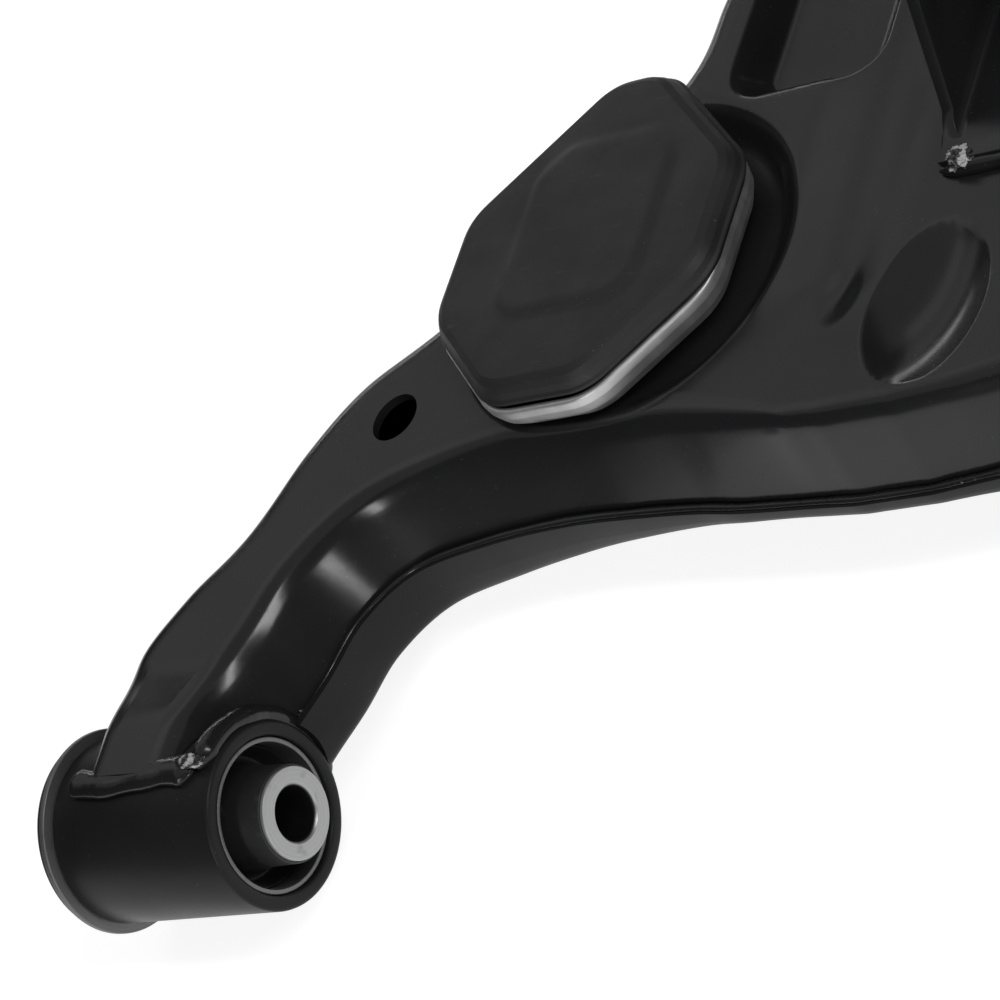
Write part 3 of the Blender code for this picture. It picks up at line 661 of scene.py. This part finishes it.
def upper_height(x, y):
    """Height of the upper shell's outer face."""
    z = TOP + (TUBE_TOP - TOP) * smooth((40.0 - y) / 26.0)
    z += (TIP_TOP - TOP) * smooth((y - 320.0) / 30.0)
    seat = math.hypot(x - SEAT_CENTRE[0], y - SEAT_CENTRE[1])
    z -= SEAT_DEPTH * smooth((SEAT_RADIUS - seat) / 11.0) * smooth((y - 94.0) / 30.0)
    valley = abs(x - VALLEY_X) / VALLEY_HALF
    if valley < 1.0:
        ends = smooth((y - 118.0) / 24.0) * smooth((330.0 - y) / 60.0)
        z -= VALLEY_DEPTH * ends * (0.5 + 0.5 * math.cos(math.pi * valley))
    pocket = rounded_box_distance(x, y, POCKET_X, POCKET_Y, POCKET_CORNER)
    z += (POCKET_FLOOR - z) * smooth((2.5 - pocket) / 10.5)
    dimple = oval(x, y, DIMPLE_CENTRE, DIMPLE_HALF)
    z -= DIMPLE_DEPTH * max(0.0, 1.0 - dimple * dimple)
    z -= DENT_DEPTH * smooth(1.0 - oval(x, y, DENT_CENTRE, DENT_HALF))
    z += 0.25 * noise.noise(Vector((x, y, 0)) * 0.03)
    return z


def shallow(x):
    """How far the inner edge has risen from the legs' depth: 0 at the legs, 1 in the middle."""
    return smooth((150.0 - abs(x)) / 130.0)


def lower_depth(x, y):
    """Height of the lower shell's outer face, below the pivot axis."""
    edge = LEG_FLOOR + (ARCH_FLOOR - LEG_FLOOR) * shallow(x)
    return edge + (BODY_FLOOR - edge) * smooth((y - 100.0) / 40.0)


def upper_rim(x):
    """Bottom edge of the upper shell's wall."""
    return -4.0 + 3.8 * shallow(x)


def upper_bend(_x):
    """Height where the upper shell's wall starts to lean, the same at every x."""
    return 0.0


def lower_rim(x):
    """Top edge of the lower shell's wall: the ledge that the seam weld lies on."""
    return 4.0 - 3.5 * shallow(x)


def lower_bend(x):
    """Height where the lower shell's wall starts to lean."""
    return -5.5 + 3.2 * shallow(x)


def inward(points, other):
    """Unit normals of an outline that point to the other outline."""
    normals = []
    last = len(points) - 1
    for i, (x, y) in enumerate(points):
        x0, y0 = points[max(i - 1, 0)]
        x1, y1 = points[min(i + 1, last)]
        normal = Vector((y0 - y1, x1 - x0)).normalized()
        if normal.dot(Vector(other[i]) - Vector((x, y))) < 0:
            normal.negate()
        normals.append(normal)
    return normals


def station_parts(a, b):
    """Enough loft lines between two stations to keep them at most LINE_SPACING apart."""
    widest = max(math.dist(a[0:2], b[0:2]), math.dist(a[2:4], b[2:4]))
    return math.ceil(widest / LINE_SPACING)


def calmed(normals, reach=6):
    """Each normal averaged with its neighbours, so that offset points keep their order."""
    last = len(normals) - 1
    return [sum((normals[min(max(k, 0), last)] for k in range(i - reach, i + reach + 1)),
                Vector((0, 0))).normalized() for i in range(len(normals))]


def outlines():
    """Inner and outer outline, their inward normals and the inner wall's slope."""
    rows = spline(stations(), station_parts)
    inner = [row[0:2] for row in rows]
    outer = [row[2:4] for row in rows]
    return (inner, outer, calmed(inward(inner, outer)), calmed(inward(outer, inner)),
            [row[4] for row in rows])


def wall_points(foot, normal, wall, base, height):
    """The leaning part of a wall as a smooth curve, from its foot in to the plain top."""
    curve = spline(((0, 0.0),) + tuple(wall), lambda a, b: WALL_PARTS)[1:]
    spots = [(foot + normal * distance, share) for distance, share in curve]
    return [(*spot, base + share * (height(*spot) - base)) for spot, share in spots]


def shell_section(inner, outer, inner_normal, outer_normal, slope, columns, sides, height):
    """One line of the loft: wall, top and wall, as (x, y, z)."""
    lap, rim, bend, inner_wall, outer_wall = sides
    start = Vector(inner) - inner_normal * lap
    end = Vector(outer) - outer_normal * lap
    near = wall_points(start, inner_normal * slope, inner_wall, bend(start.x), height)
    steep = 1.0 - 0.6 * smooth((end.y - 330.0) / 40.0)
    far = wall_points(end, outer_normal * steep, outer_wall, bend(end.x), height)
    reach_in = Vector(near[-1][0:2])
    reach_out = Vector(far[-1][0:2])
    line = [(*start, rim(start.x)), (*start, bend(start.x))] + near
    for k in range(1, columns):
        spot = reach_in.lerp(reach_out, k / columns)
        line.append((*spot, height(*spot)))
    line += list(reversed(far)) + [(*end, bend(end.x)), (*end, rim(end.x))]
    return line


def shell_mesh(name, sides, height, columns, upward):
    """The loft's open skin, its faces turned up or down."""
    inner, outer, inner_normals, outer_normals, slopes = outlines()
    lines = [
        shell_section(inner[i], outer[i], inner_normals[i], outer_normals[i], slopes[i],
                      columns, sides, height)
        for i in range(len(inner))]
    width = len(lines[0])
    faces = []
    for i in range(len(lines) - 1):
        for k in range(width - 1):
            a = i * width + k
            faces.append((a, a + width, a + width + 1, a + 1))
    mesh = made_mesh(name, [point for line in lines for point in line], faces)
    bm = bmesh.new()
    bm.from_mesh(mesh)
    bm.normal_update()
    if (sum(face.normal.z * face.calc_area() for face in bm.faces) > 0) != upward:
        bmesh.ops.reverse_faces(bm, faces=bm.faces)
    bm.to_mesh(mesh)
    bm.free()
    return mesh


def saddles():
    """Cutters that fit the shells over the bush tubes."""
    profile = [(0, -70), (TUBE_RADIUS + GAP, -70), (TUBE_RADIUS + GAP, 70), (0, 70)]
    return [turned("saddle", profile, (side * PIVOT_X, 0, 0), "x", ROUND, 0.0) for side in (-1, 1)]


def shell(name, paint, sides, height, columns, upward, holes):
    """A stamped shell: the skin thickened inwards, then cut for the bush tubes and its holes."""
    def add(item):
        sheet = item.modifiers.new("sheet", "SOLIDIFY")
        sheet.thickness = SHEET * MM
        sheet.offset = -1.0
        return [boolean(item, cutter) for cutter in saddles() + holes]

    mesh = with_modifiers(shell_mesh(name + "_skin", sides, height, columns, upward), add)
    mesh.name = name + "_skin"
    return add_piece(name + "_skin", mesh, paint, "arm", [name], 35.0)


def shells():
    """Both shells, with holes for the ball joint, the bump stop, the link bolt and tooling."""
    ring = RING_RADIUS + GAP
    upper = (0.0, upper_rim, upper_bend, INNER_WALL, OUTER_WALL)
    shell("upper_shell", PAINT, upper, upper_height, COLUMNS, True, [
        rod(BALL.x, BALL.y, ring, 10, 60), rod(*LEG_HOLE, LEG_HOLE_RADIUS, 10, 60),
        rod(-LEG_HOLE[0], LEG_HOLE[1], LEG_HOLE_RADIUS, 10, 60), rod(*PAD_CENTRE, 6.8, 10, 60),
        rod(*LINK_HOLE, LINK_HOLE_RADIUS, 5, 60)])
    lower = (LAP, lower_rim, lower_bend, LOWER_WALL, LOWER_WALL)
    shell("lower_shell", DULL_PAINT, lower, lower_depth, FLOOR_COLUMNS, False, [
        rod(BALL.x, BALL.y, ring, -60, 3), rod(*PAD_CENTRE, 17.0, -60, 3),
        rod(*LINK_HOLE, 14.0, -60, 3)])


# ---------------------------------------------------------------- welds

def seam_beads():
    """Beads on the ledge between the two shells, inside and outside of the wishbone."""
    inner, outer, inner_normals, outer_normals, _ = outlines()
    for label, line, normals in (("inner", inner, inner_normals), ("outer", outer, outer_normals)):
        path = []
        for point, normal in zip(line, normals):
            spot = Vector(point) - normal * 1.1
            if spot.y > TUBE_RADIUS + 8:
                path.append((spot.x, spot.y, lower_rim(spot.x) + 0.2))
        bead("seam_weld_" + label, path, weld_radius(1.25, 0.12), 10, 0.8)


def ring_path(x, radius, first, last, parts):
    """Points round the pivot axis, from one angle to another in degrees, 0 being +Y."""
    result = []
    for k in range(parts + 1):
        angle = math.radians(first + (last - first) * k / parts)
        result.append((x, radius * math.cos(angle), radius * math.sin(angle)))
    return result


def tube_welds():
    """Fillets that join each bush tube to the shells."""
    for label, side in (("front", -1), ("rear", 1)):
        near = side * (PIVOT_X - TUBE_NEAR + 5.0)
        collar = ring_path(near, TUBE_RADIUS + 1.2, 92, -38, 90)
        bead(label + "_collar_weld", collar, weld_radius(3.8, 0.03, 0.0), 16, 1.1, Vector((1, 0, 0)))
        lip = [(side * x, -1.4 + 1.1 * math.sin((x - 190) * 0.12), TUBE_RADIUS + 1.0)
               for x in range(193, 247)]
        bead(label + "_lip_weld", lip, weld_radius(5.0, 0.03, 0.0), 20, 0.55)
        blob(label + "_weld_end", (side * 193.5, 0.5, TUBE_RADIUS + 3.4), (6.0, 2.2, 1.6), 0.2, side * 5)
        blob(label + "_weld_start", (near - side * 3, TUBE_RADIUS + 5.5, -3), (2.2, 2.6, 6.5), 0.2, side * 9)


def bracket_welds():
    """Fillets along both feet of the shock clevis and across its ends."""
    z = TOP + 1.0
    runs = {
        "front": [(EAR_LOW - 0.6, y, z) for y in range(172, 296, 2)],
        "rear": [(EAR_HIGH + 0.6, y, z) for y in range(172, 296, 2)],
        "corner": [(x, BRACKET_LOW.y - 0.4, z) for x in range(int(EAR_LOW), int(EAR_HIGH), 2)],
    }
    for label, path in runs.items():
        bead("bracket_weld_" + label, path, weld_radius(3.0, 0.05, 0.0), 14, 0.9)
    blob("bracket_weld_end", (EAR_LOW + 7, BRACKET_LOW.y + 1, z + 2.0), (4.5, 3.8, 3.0), 0.2, 2)


# ---------------------------------------------------------------- pivot bushes

def bush(label, side):
    """Tube, can, rubber and sleeve. Height along the profile points to the arm's middle."""
    centre = (side * PIVOT_X, 0, 0)
    axis = "-x" if side > 0 else "x"

    def part(piece, profile, material, slot, body="arm", soft=0.5):
        name = label + "_bush_" + piece
        mesh = turned(name + "_fine", profile, centre, axis, 128, soft)
        stand_in(name, mesh, material, body)

    part("tube", [(TUBE_RADIUS, TUBE_NEAR), (TUBE_RADIUS, -TUBE_FAR), (TUBE_BORE, -TUBE_FAR),
                  (TUBE_BORE, TUBE_NEAR)], DULL_PAINT, "black_paint", soft=1.4)
    flange = -TUBE_FAR - GAP
    part("can", [(CAN_RADIUS, TUBE_NEAR - 1.2), (CAN_RADIUS, flange), (FLANGE_RADIUS, flange),
                 (FLANGE_RADIUS, flange - 2), (CAN_BORE, flange - 2), (CAN_BORE, TUBE_NEAR - 1.2)],
         CAN_STEEL, "bare_steel", soft=0.45)
    inner = SLEEVE_RADIUS + 0.05
    outer = CAN_BORE - 0.05
    lip = flange - 2 - 0.1
    part("rubber", [
        (outer - 0.6, TUBE_NEAR - 8), (outer, TUBE_NEAR - 10), (outer, lip), (FLANGE_RADIUS - 0.6, lip),
        (FLANGE_RADIUS - 1.4, lip - 2.4), (24, lip - 3), (19, lip + 1.6), (inner + 0.7, lip - 1.4),
        (inner + 0.6, -SLEEVE_HALF + 1.6), (inner, -SLEEVE_HALF + 1.4), (inner, SLEEVE_HALF - 1.0),
        (inner + 0.7, SLEEVE_HALF - 1.2), (inner + 1.0, TUBE_NEAR - 4), (16.4, TUBE_NEAR - 14),
        (18.5, TUBE_NEAR - 15)], BUSH_RUBBER, "bush_rubber", soft=1.2)
    part("sleeve", [(SLEEVE_RADIUS, SLEEVE_HALF), (SLEEVE_RADIUS, -SLEEVE_HALF),
                    (SLEEVE_BORE + 0.9, -SLEEVE_HALF), (SLEEVE_BORE, -SLEEVE_HALF + 0.9),
                    (SLEEVE_BORE, SLEEVE_HALF - 0.9), (SLEEVE_BORE + 0.9, SLEEVE_HALF)],
         SLEEVE_STEEL, "sleeve_steel", label + "_sleeve", 0.35)


# ---------------------------------------------------------------- jounce bumper

def pad_ring(sides, inset, corner, z, per_corner=10):
    """An eight-sided outline moved in by inset, as a ring of points with round corners."""
    result = []
    for k in range(8):
        angle = math.radians(45.0 * k)
        following = math.radians(45.0 * (k + 1))
        near = sides[k] - inset - corner
        far = sides[(k + 1) % 8] - inset - corner
        span = math.sin(following - angle)
        x = (near * math.sin(following) - far * math.sin(angle)) / span
        y = (far * math.cos(angle) - near * math.cos(following)) / span
        for part in range(per_corner):
            turn = angle + (following - angle) * part / (per_corner - 1)
            result.append((PAD_CENTRE[0] + x + corner * math.cos(turn),
                           PAD_CENTRE[1] + y + corner * math.sin(turn), z))
    return result


def evened(ring, count=160):
    """The same outline with evenly spaced points."""
    spots = [Vector(p) for p in ring]
    lengths = [0.0]
    for a, b in zip(spots, spots[1:] + spots[:1]):
        lengths.append(lengths[-1] + (b - a).length)
    result = []
    k = 0
    for i in range(count):
        want = lengths[-1] * i / count
        while lengths[k + 1] < want:
            k += 1
        a, b = spots[k], spots[(k + 1) % len(spots)]
        result.append(a.lerp(b, (want - lengths[k]) / max(1e-9, lengths[k + 1] - lengths[k])))
    return result


def stacked(name, rings):
    """A closed surface of stacked rings of equal length."""
    count = len(rings[0])
    points = [point for ring in rings for point in ring]
    faces = []
    for i in range(len(rings) - 1):
        for k in range(count):
            k2 = (k + 1) % count
            faces.append((i * count + k, i * count + k2, (i + 1) * count + k2, (i + 1) * count + k))
    faces.append(tuple(range(count)))
    faces.append(tuple(range((len(rings) - 1) * count, len(rings) * count)))
    return outwards(made_mesh(name, points, faces))


def bumper_dish():
    """The pressed dish that holds the bump stop's rubber."""
    foot = DISH_LOW.z
    sheet = 2.2
    profile = rounded([(18, foot), (9, foot + 1.2), (3.8, foot + 3.6), (1.0, foot + 7.5), (0, foot + 11),
                       (0, RIM_HEIGHT), (2.2, RIM_HEIGHT), (3.0, foot + 10.5), (4.5, foot + 7),
                       (8, foot + 4.5), (16, foot + sheet)], 1.0, closed=False)
    mesh = stacked("bumper_dish_fine", [evened(pad_ring(DISH_SIDES, inset, 20 - inset * 0.8, z))
                                        for inset, z in profile])
    mesh = pierced(mesh, rod(*PAD_CENTRE, 6.8, 10, 30))
    stand_in("bumper_dish", mesh, DISH)


def pad_height(x, y):
    """The rubber's crown: a faint raised panel with round corners and a soft sag round it."""
    panel = rounded_box_distance(x, y, (-117.0, -65.0), (133.0, 194.0), 12.0)
    return PAD_TOP - 1.2 + 1.2 * smooth(0.5 - panel / 4.0)


def bumper_rubber():
    """The bump stop's rubber: stepped lips over the dish's rim and a crowned top."""
    floor = PAD_LOW.z
    profile = rounded([
        (18, floor), (8, floor + 5), (4.2, floor + 8), (2.2, RIM_HEIGHT + 0.4), (1.0, RIM_HEIGHT + 1.2),
        (1.0, RIM_HEIGHT + 2.0), (1.9, RIM_HEIGHT + 2.6), (2.6, RIM_HEIGHT + 4.6), (4.0, RIM_HEIGHT + 6.6),
        (6.2, RIM_HEIGHT + 7.8), (12, PAD_TOP - 1.3)], 0.8, closed=False)
    rings = [evened(pad_ring(PAD_SIDES, inset, 19 - inset * 0.75, z)) for inset, z in profile]
    centre = Vector((*PAD_CENTRE, 0))
    outline = rings[-1]
    for k in range(1, 18):
        share = 1.0 - k / 24
        ring = []
        for point in outline:
            spot = centre + (Vector(point) - centre) * share
            spot.z = pad_height(spot.x, spot.y)
            if k < 4:
                spot.z += (outline[0].z - spot.z) * (1 - k / 4)
            ring.append(spot)
        rings.append(ring)
    mesh = stacked("bumper_rubber_fine", rings)
    stand_in("bumper_rubber", mesh, BUMPER_RUBBER)


# ---------------------------------------------------------------- shock clevis

def extruded(name, outline, low, high, to_world):
    """A flat outline pushed from low to high along the third direction."""
    count = len(outline)
    points = [to_world(a, b, low) for a, b in outline] + [to_world(a, b, high) for a, b in outline]
    faces = [(k, (k + 1) % count, count + (k + 1) % count, count + k) for k in range(count)]
    faces.append(tuple(range(count)))
    faces.append(tuple(range(count, 2 * count)))
    return outwards(made_mesh(name, points, faces))


def bevelled(mesh, width, parts=2):
    """The mesh with its sharp edges rounded."""
    def add(item):
        bevel = item.modifiers.new("edges", "BEVEL")
        bevel.width = width * MM
        bevel.segments = parts
        bevel.limit_method = "ANGLE"
        bevel.angle_limit = math.radians(35)
    return with_modifiers(mesh, add)


def shock_bracket():
    """One bent strip: two ears on a base, cut to the ears' outline."""
    foot = BRACKET_LOW.z
    channel = [(EAR_LOW, BOLT_Z + 40), (EAR_LOW, foot), (EAR_HIGH, foot), (EAR_HIGH, BOLT_Z + 40),
               (EAR_HIGH - EAR_SHEET, BOLT_Z + 40), (EAR_HIGH - EAR_SHEET, foot + EAR_SHEET),
               (EAR_LOW + EAR_SHEET, foot + EAR_SHEET), (EAR_LOW + EAR_SHEET, BOLT_Z + 40)]
    channel = rounded(channel, 3.0, parts=4)
    strip = extruded("strip", channel, 120, 350, lambda a, b, c: (a, c, b))
    outline = [(BRACKET_LOW.y, foot - 1), (BRACKET_HIGH.y, foot - 1), (BRACKET_HIGH.y, foot + 5)]
    outline += [(BOLT_Y + 21 * math.cos(math.radians(a)), BOLT_Z + 21 * math.sin(math.radians(a)))
                for a in range(0, 145, 6)]
    outline += [(184, foot + 8), (176, foot + EAR_SHEET), (BRACKET_LOW.y, foot + EAR_SHEET)]
    side = extruded("side", outline, EAR_LOW - 20, EAR_HIGH + 20, lambda a, b, c: (c, a, b))
    bolt = turned("bolt", [(0, -100), (CLEVIS_HOLE_RADIUS, -100), (CLEVIS_HOLE_RADIUS, 100), (0, 100)],
                  ((EAR_LOW + EAR_HIGH) / 2, BOLT_Y, BOLT_Z), "x", 64, 0.0)

    def add(item):
        return [boolean(item, side, "INTERSECT"), boolean(item, bolt)]

    mesh = bevelled(with_modifiers(strip, add), 0.6)
    mesh.name = "shock_bracket_fine"
    stand_in("shock_bracket", mesh, PAINT, sharp=30.0)


def weld_nuts():
    """The nut on the clevis and the nut below the link pocket."""
    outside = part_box("shock_weld_nut")[0].x / MM
    bore = CLEVIS_HOLE_RADIUS - 0.5
    mesh = turned("shock_weld_nut_fine", [
        (11, 12), (12.5, 10.5), (12.5, 3), (15.5, 2.4), (15.5, 0), (bore, 0), (bore, 12)],
        (outside, BOLT_Y, BOLT_Z), "x", ROUND, 0.6)
    stand_in("shock_weld_nut", mesh, ZINC)
    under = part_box("link_weld_nut")[1].z / MM
    mesh = turned("link_weld_nut_fine", [
        (13, under), (13, under - 2), (10, under - 2.4), (10, under - 11),
        (LINK_HOLE_RADIUS, under - 11), (LINK_HOLE_RADIUS, under)], (*LINK_HOLE, 0), "z", ROUND, 0.6)
    stand_in("link_weld_nut", mesh, ZINC)


def bumper_nut():
    """The hexagon nut and washer that hold the bump stop from below."""
    low, high = corners("bumper_nut")
    blank = turned("bumper_nut_fine", [
        (0, high.z), (9.2, high.z), (10.4, high.z - 1), (10.4, low.z + 1), (9.2, low.z), (0, low.z)],
        (*PAD_CENTRE, 0), "z", 6, 0.0)
    mesh = pierced(blank, rod(*PAD_CENTRE, 6.4, -20, 40))
    stand_in("bumper_nut", bevelled(mesh, 0.3), ZINC)
    low, high = corners("bumper_washer")
    mesh = turned("bumper_washer_fine", [(13, high.z), (13, low.z), (6.5, low.z), (6.5, high.z)],
                  (*PAD_CENTRE, 0), "z", ROUND, 0.4)
    stand_in("bumper_washer", mesh, ZINC)


# ---------------------------------------------------------------- ball joint

def sphere_arc(radius, first, last, count):
    """Points (radius, height) on a sphere about the ball's centre, angles from the top."""
    angles = [math.radians(first + (last - first) * i / (count - 1)) for i in range(count)]
    return [(radius * math.sin(a), BALL.z + radius * math.cos(a)) for a in angles]


def ball_part(name, profile, material, body="arm", soft=0.5):
    """A piece turned about the stud's axis."""
    mesh = turned(name + "_fine", profile, (BALL.x, BALL.y, 0), "z", ROUND, soft)
    stand_in(name, mesh, material, body)


def ball_joint():
    """Ring, housing, cover, stud and clips, then the pieces that have functions of their own."""
    ball_part("ball_joint_ring", [(RING_RADIUS, 28), (RING_RADIUS, -14), (RING_BORE, -14),
                                  (RING_BORE, 28)], PAINT, soft=1.2)
    bore = BALL_RADIUS + 3.3
    housing = [(19.4, 33), (23.5, 33), (23.5, 31.4), (22.2, 30.8), (22.2, 28), (27, 27), (27, -14.3),
               (31, -14.3), (31, -17.5), (22, -17.5), (22, -12.6), (23.2, -12.6), (23.2, -9.9),
               (22, -9.9), (22, -7), (bore, -7), (bore, BALL.z)]
    housing += sphere_arc(bore, 77, 50, 6)
    ball_part("ball_joint_housing", housing, FORGED)
    ball_part("ball_joint_cover", [(0, -7.3), (20, -7.3), (21.7, -8), (21.7, -9.6), (9, -9.6),
                                   (7.5, -8.9), (0, -8.9)], ZINC)
    ball = sphere_arc(BALL_RADIUS, 28, 158, 30)
    stud = [(0, 98), (5.9, 98), (6.9, 96.8)]
    for k in range(11):
        z = 96 - 2.0 * k
        stud += [(6.9, z), (6.3, z - 0.5), (6.3, z - 1.0), (6.9, z - 1.5)]
    stud += [(6.9, 74), (7.7, 73), (9.4, 53), (9.4, 52), (7.5, 49), (7.5, 32)] + ball + [(0, ball[-1][1])]
    mesh = turned("ball_stud_fine", stud, (BALL.x, BALL.y, 0), "z", ROUND, 0.3)
    hole = turned("hole", [(0, -20), (1.9, -20), (1.9, 20), (0, 20)],
                  (BALL.x, BALL.y, PIN_HEIGHT), "x", 24, 0)
    mesh = pierced(mesh, hole)
    stand_in("ball_stud", mesh, STUD_STEEL, "stud")
    clip = [(0.9 * math.cos(math.tau * k / 12), 0.9 * math.sin(math.tau * k / 12)) for k in range(12)]
    ball_part("boot_lower_clip", [(25.6 + r, 29.4 + z) for r, z in clip], CAN_STEEL, soft=0)
    ball_part("boot_upper_clip", [(13.3 + r * 0.9, 50 + z * 0.9) for r, z in clip], CAN_STEEL,
              "boot_collar", soft=0)
    circlip()
    boot()
    castle_nut()
    cotter_pin()


def circlip():
    """The open ring that keeps the cover in the housing."""
    ring = turned("ball_joint_circlip_fine", [(22.8, -10.2), (22.8, -12.3), (19.6, -12.3), (19.6, -10.2)],
                  (BALL.x, BALL.y, 0), "z", ROUND, 0.3)
    slot = [(-4, 15), (4, 15), (4, 30), (-4, 30)]
    cutter = extruded("slot", slot, -16, -7, lambda a, b, c: (BALL.x + a, BALL.y + b, c))
    mesh = pierced(ring, cutter)
    stand_in("ball_joint_circlip", mesh, CAN_STEEL)


def boot():
    """A two-fold bellows, split at its waist into two halves."""
    waist = 39.6
    lower = [(20, waist), (27, 36.5), (27.6, 34), (24.6, 31.5), (24.6, 27.8), (22.6, 28.3), (22.6, 30.5),
             (24, 31.2), (25.8, 34), (25, 35.6), (18, waist)]
    upper = [(9.8, 52), (12.4, 52), (12.2, 48), (15.5, 46), (22, 44), (23, 42), (20, waist), (18, waist),
             (20.4, 42.4), (15, 44.2), (9.8, 46.5)]
    for label, profile, low, high, first, last in (
            ("lower", lower, 31.0, waist, "arm", "boot"),
            ("upper", upper, waist, 48.0, "boot", "boot_collar")):
        name = "ball_joint_boot_" + label
        mesh = turned(name, profile, (BALL.x, BALL.y, 0), "z", 128, 1.2)
        item = add_piece(name, mesh, BOOT_RUBBER, None, ["ball_joint_boot"])
        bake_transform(item)


def castle_nut():
    """A slotted hexagon nut on the stud's thread."""
    low, high = corners("castle_nut")
    blank = turned("castle_nut_fine", [
        (0, high.z), (9.4, high.z), (10, high.z - 0.6), (10, 86), (12.7, 86), (12.7, 77.2), (11.4, low.z),
        (0, low.z)], (BALL.x, BALL.y, 0), "z", 6, 0.0)
    slots = []
    for k in range(3):
        angle = math.pi / 3 * k
        turn = Matrix.Rotation(angle, 3, "Z")
        bar = [(-15, -2.2), (15, -2.2), (15, 2.2), (-15, 2.2)]
        slots.append(extruded("slot", bar, 87.6, 97, lambda a, b, c: turn @ Vector((a, b, c))
                              + Vector((BALL.x, BALL.y, 0))))

    mesh = bevelled(pierced(blank, rod(BALL.x, BALL.y, 7.4, 60, 110), *slots), 0.35)
    stand_in("castle_nut", mesh, ZINC, "stud", 30.0)


def cotter_pin():
    """The pin through the nut's slots, bent up at one end."""
    route = [(-13.5, 0), (-9, 0), (9, 0), (12.2, 0.4), (13.6, 2.0), (13.8, 6.5)]
    path = [(BALL.x + x, BALL.y, PIN_HEIGHT + z) for x, z in spline(route, lambda a, b: 5)]
    mesh = tube_along("cotter_pin_fine", path, lambda share, angle, place: 1.25, 12, 1.0, Vector((0, 1, 0)))
    stand_in("cotter_pin", mesh, ZINC, "stud")


def kept_nodes():
    """CAD nodes that stay, hidden deep inside, get the same finishes."""
    for name, material in (("inner_brace", PAINT), ("bumper_stud", ZINC), ("ball_joint_liner", LINER)):
        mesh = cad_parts[name].data
        mesh.materials.clear()
        mesh.materials.append(material)


# ---------------------------------------------------------------- studio

def floor():
    """A pale glowing table top, so that shadows on it stay faint."""
    low = start_low.z / MM - 0.5
    size = 6000
    corner = [(-size, -size, low), (size, -size, low), (size, size, low), (-size, size, low)]
    mesh = made_mesh("floor", corner, [(0, 1, 2, 3)])
    item = in_scene(mesh.name, mesh)
    look = Finish("floor", (0.35, 0.35, 0.35), 0.8, Emission_Color=(1.0, 1.0, 1.0, 1.0),
                  Emission_Strength=0.86)
    look.roughen(look.noise(3), 0.05)
    mesh.materials.append(look.done())


def softbox(name, azimuth, elevation, distance, size, glow):
    """An area light that faces the arm. Glow is how bright its surface is; the floor's white is 1."""
    data = bpy.data.lights.new(name, "AREA")
    data.shape = "RECTANGLE"
    data.size, data.size_y = size
    data.energy = glow * math.pi * size[0] * size[1]
    item = in_scene(name, data)
    turn, lift = math.radians(azimuth), math.radians(elevation)
    away = Vector((math.cos(turn) * math.cos(lift), math.sin(turn) * math.cos(lift), math.sin(lift)))
    item.location = Vector((-0.1, 0.12, 0.02)) + away * distance
    item.rotation_euler = away.to_track_quat("Z", "Y").to_euler()


def studio():
    """A nearly black world, broad soft light from above and behind, strips for the highlights."""
    world = bpy.data.worlds.new("studio")
    bpy.context.scene.world = world
    world.use_nodes = True
    background = world.node_tree.nodes["Background"]
    background.inputs["Color"].default_value = (1.0, 1.0, 1.0, 1.0)
    background.inputs["Strength"].default_value = 0.03
    bpy.context.scene.view_settings.view_transform = "Standard"
    softbox("overhead", 140, 82, 1.6, (2.4, 2.4), 0.38)
    softbox("back_wall", 140, 40, 2.0, (1.8, 1.2), 0.5)
    softbox("back_strip", 131, 12, 2.0, (1.2, 0.12), 4.5)
    softbox("front_strip_right", -4, 45, 1.8, (0.22, 1.3), 17)
    softbox("front_strip_middle", -45, 7, 1.8, (0.22, 0.3), 14)
    softbox("front_strip_left", -88, 22, 1.8, (0.24, 0.8), 13)


def camera():
    """Looks down at the front leg from the rear and inboard, with a long lens."""
    data = bpy.data.cameras.new("view")
    data.lens = 144
    data.sensor_width = 36
    data.clip_end = 10
    item = in_scene("view", data)
    turn = Matrix(((0.7469, 0.1210, 0.6539), (0.2828, 0.8322, -0.4770), (-0.6019, 0.5411, 0.5873)))
    item.matrix_world = Matrix.Translation((0.6336, -0.4598, 0.6931)) @ turn.to_4x4()
    bpy.context.scene.camera = item


shells()
seam_beads()
tube_welds()
bracket_welds()
bush("front", -1)
bush("rear", 1)
bumper_dish()
bumper_rubber()
shock_bracket()
weld_nuts()
bumper_nut()
ball_joint()
kept_nodes()
floor()
studio()
camera()
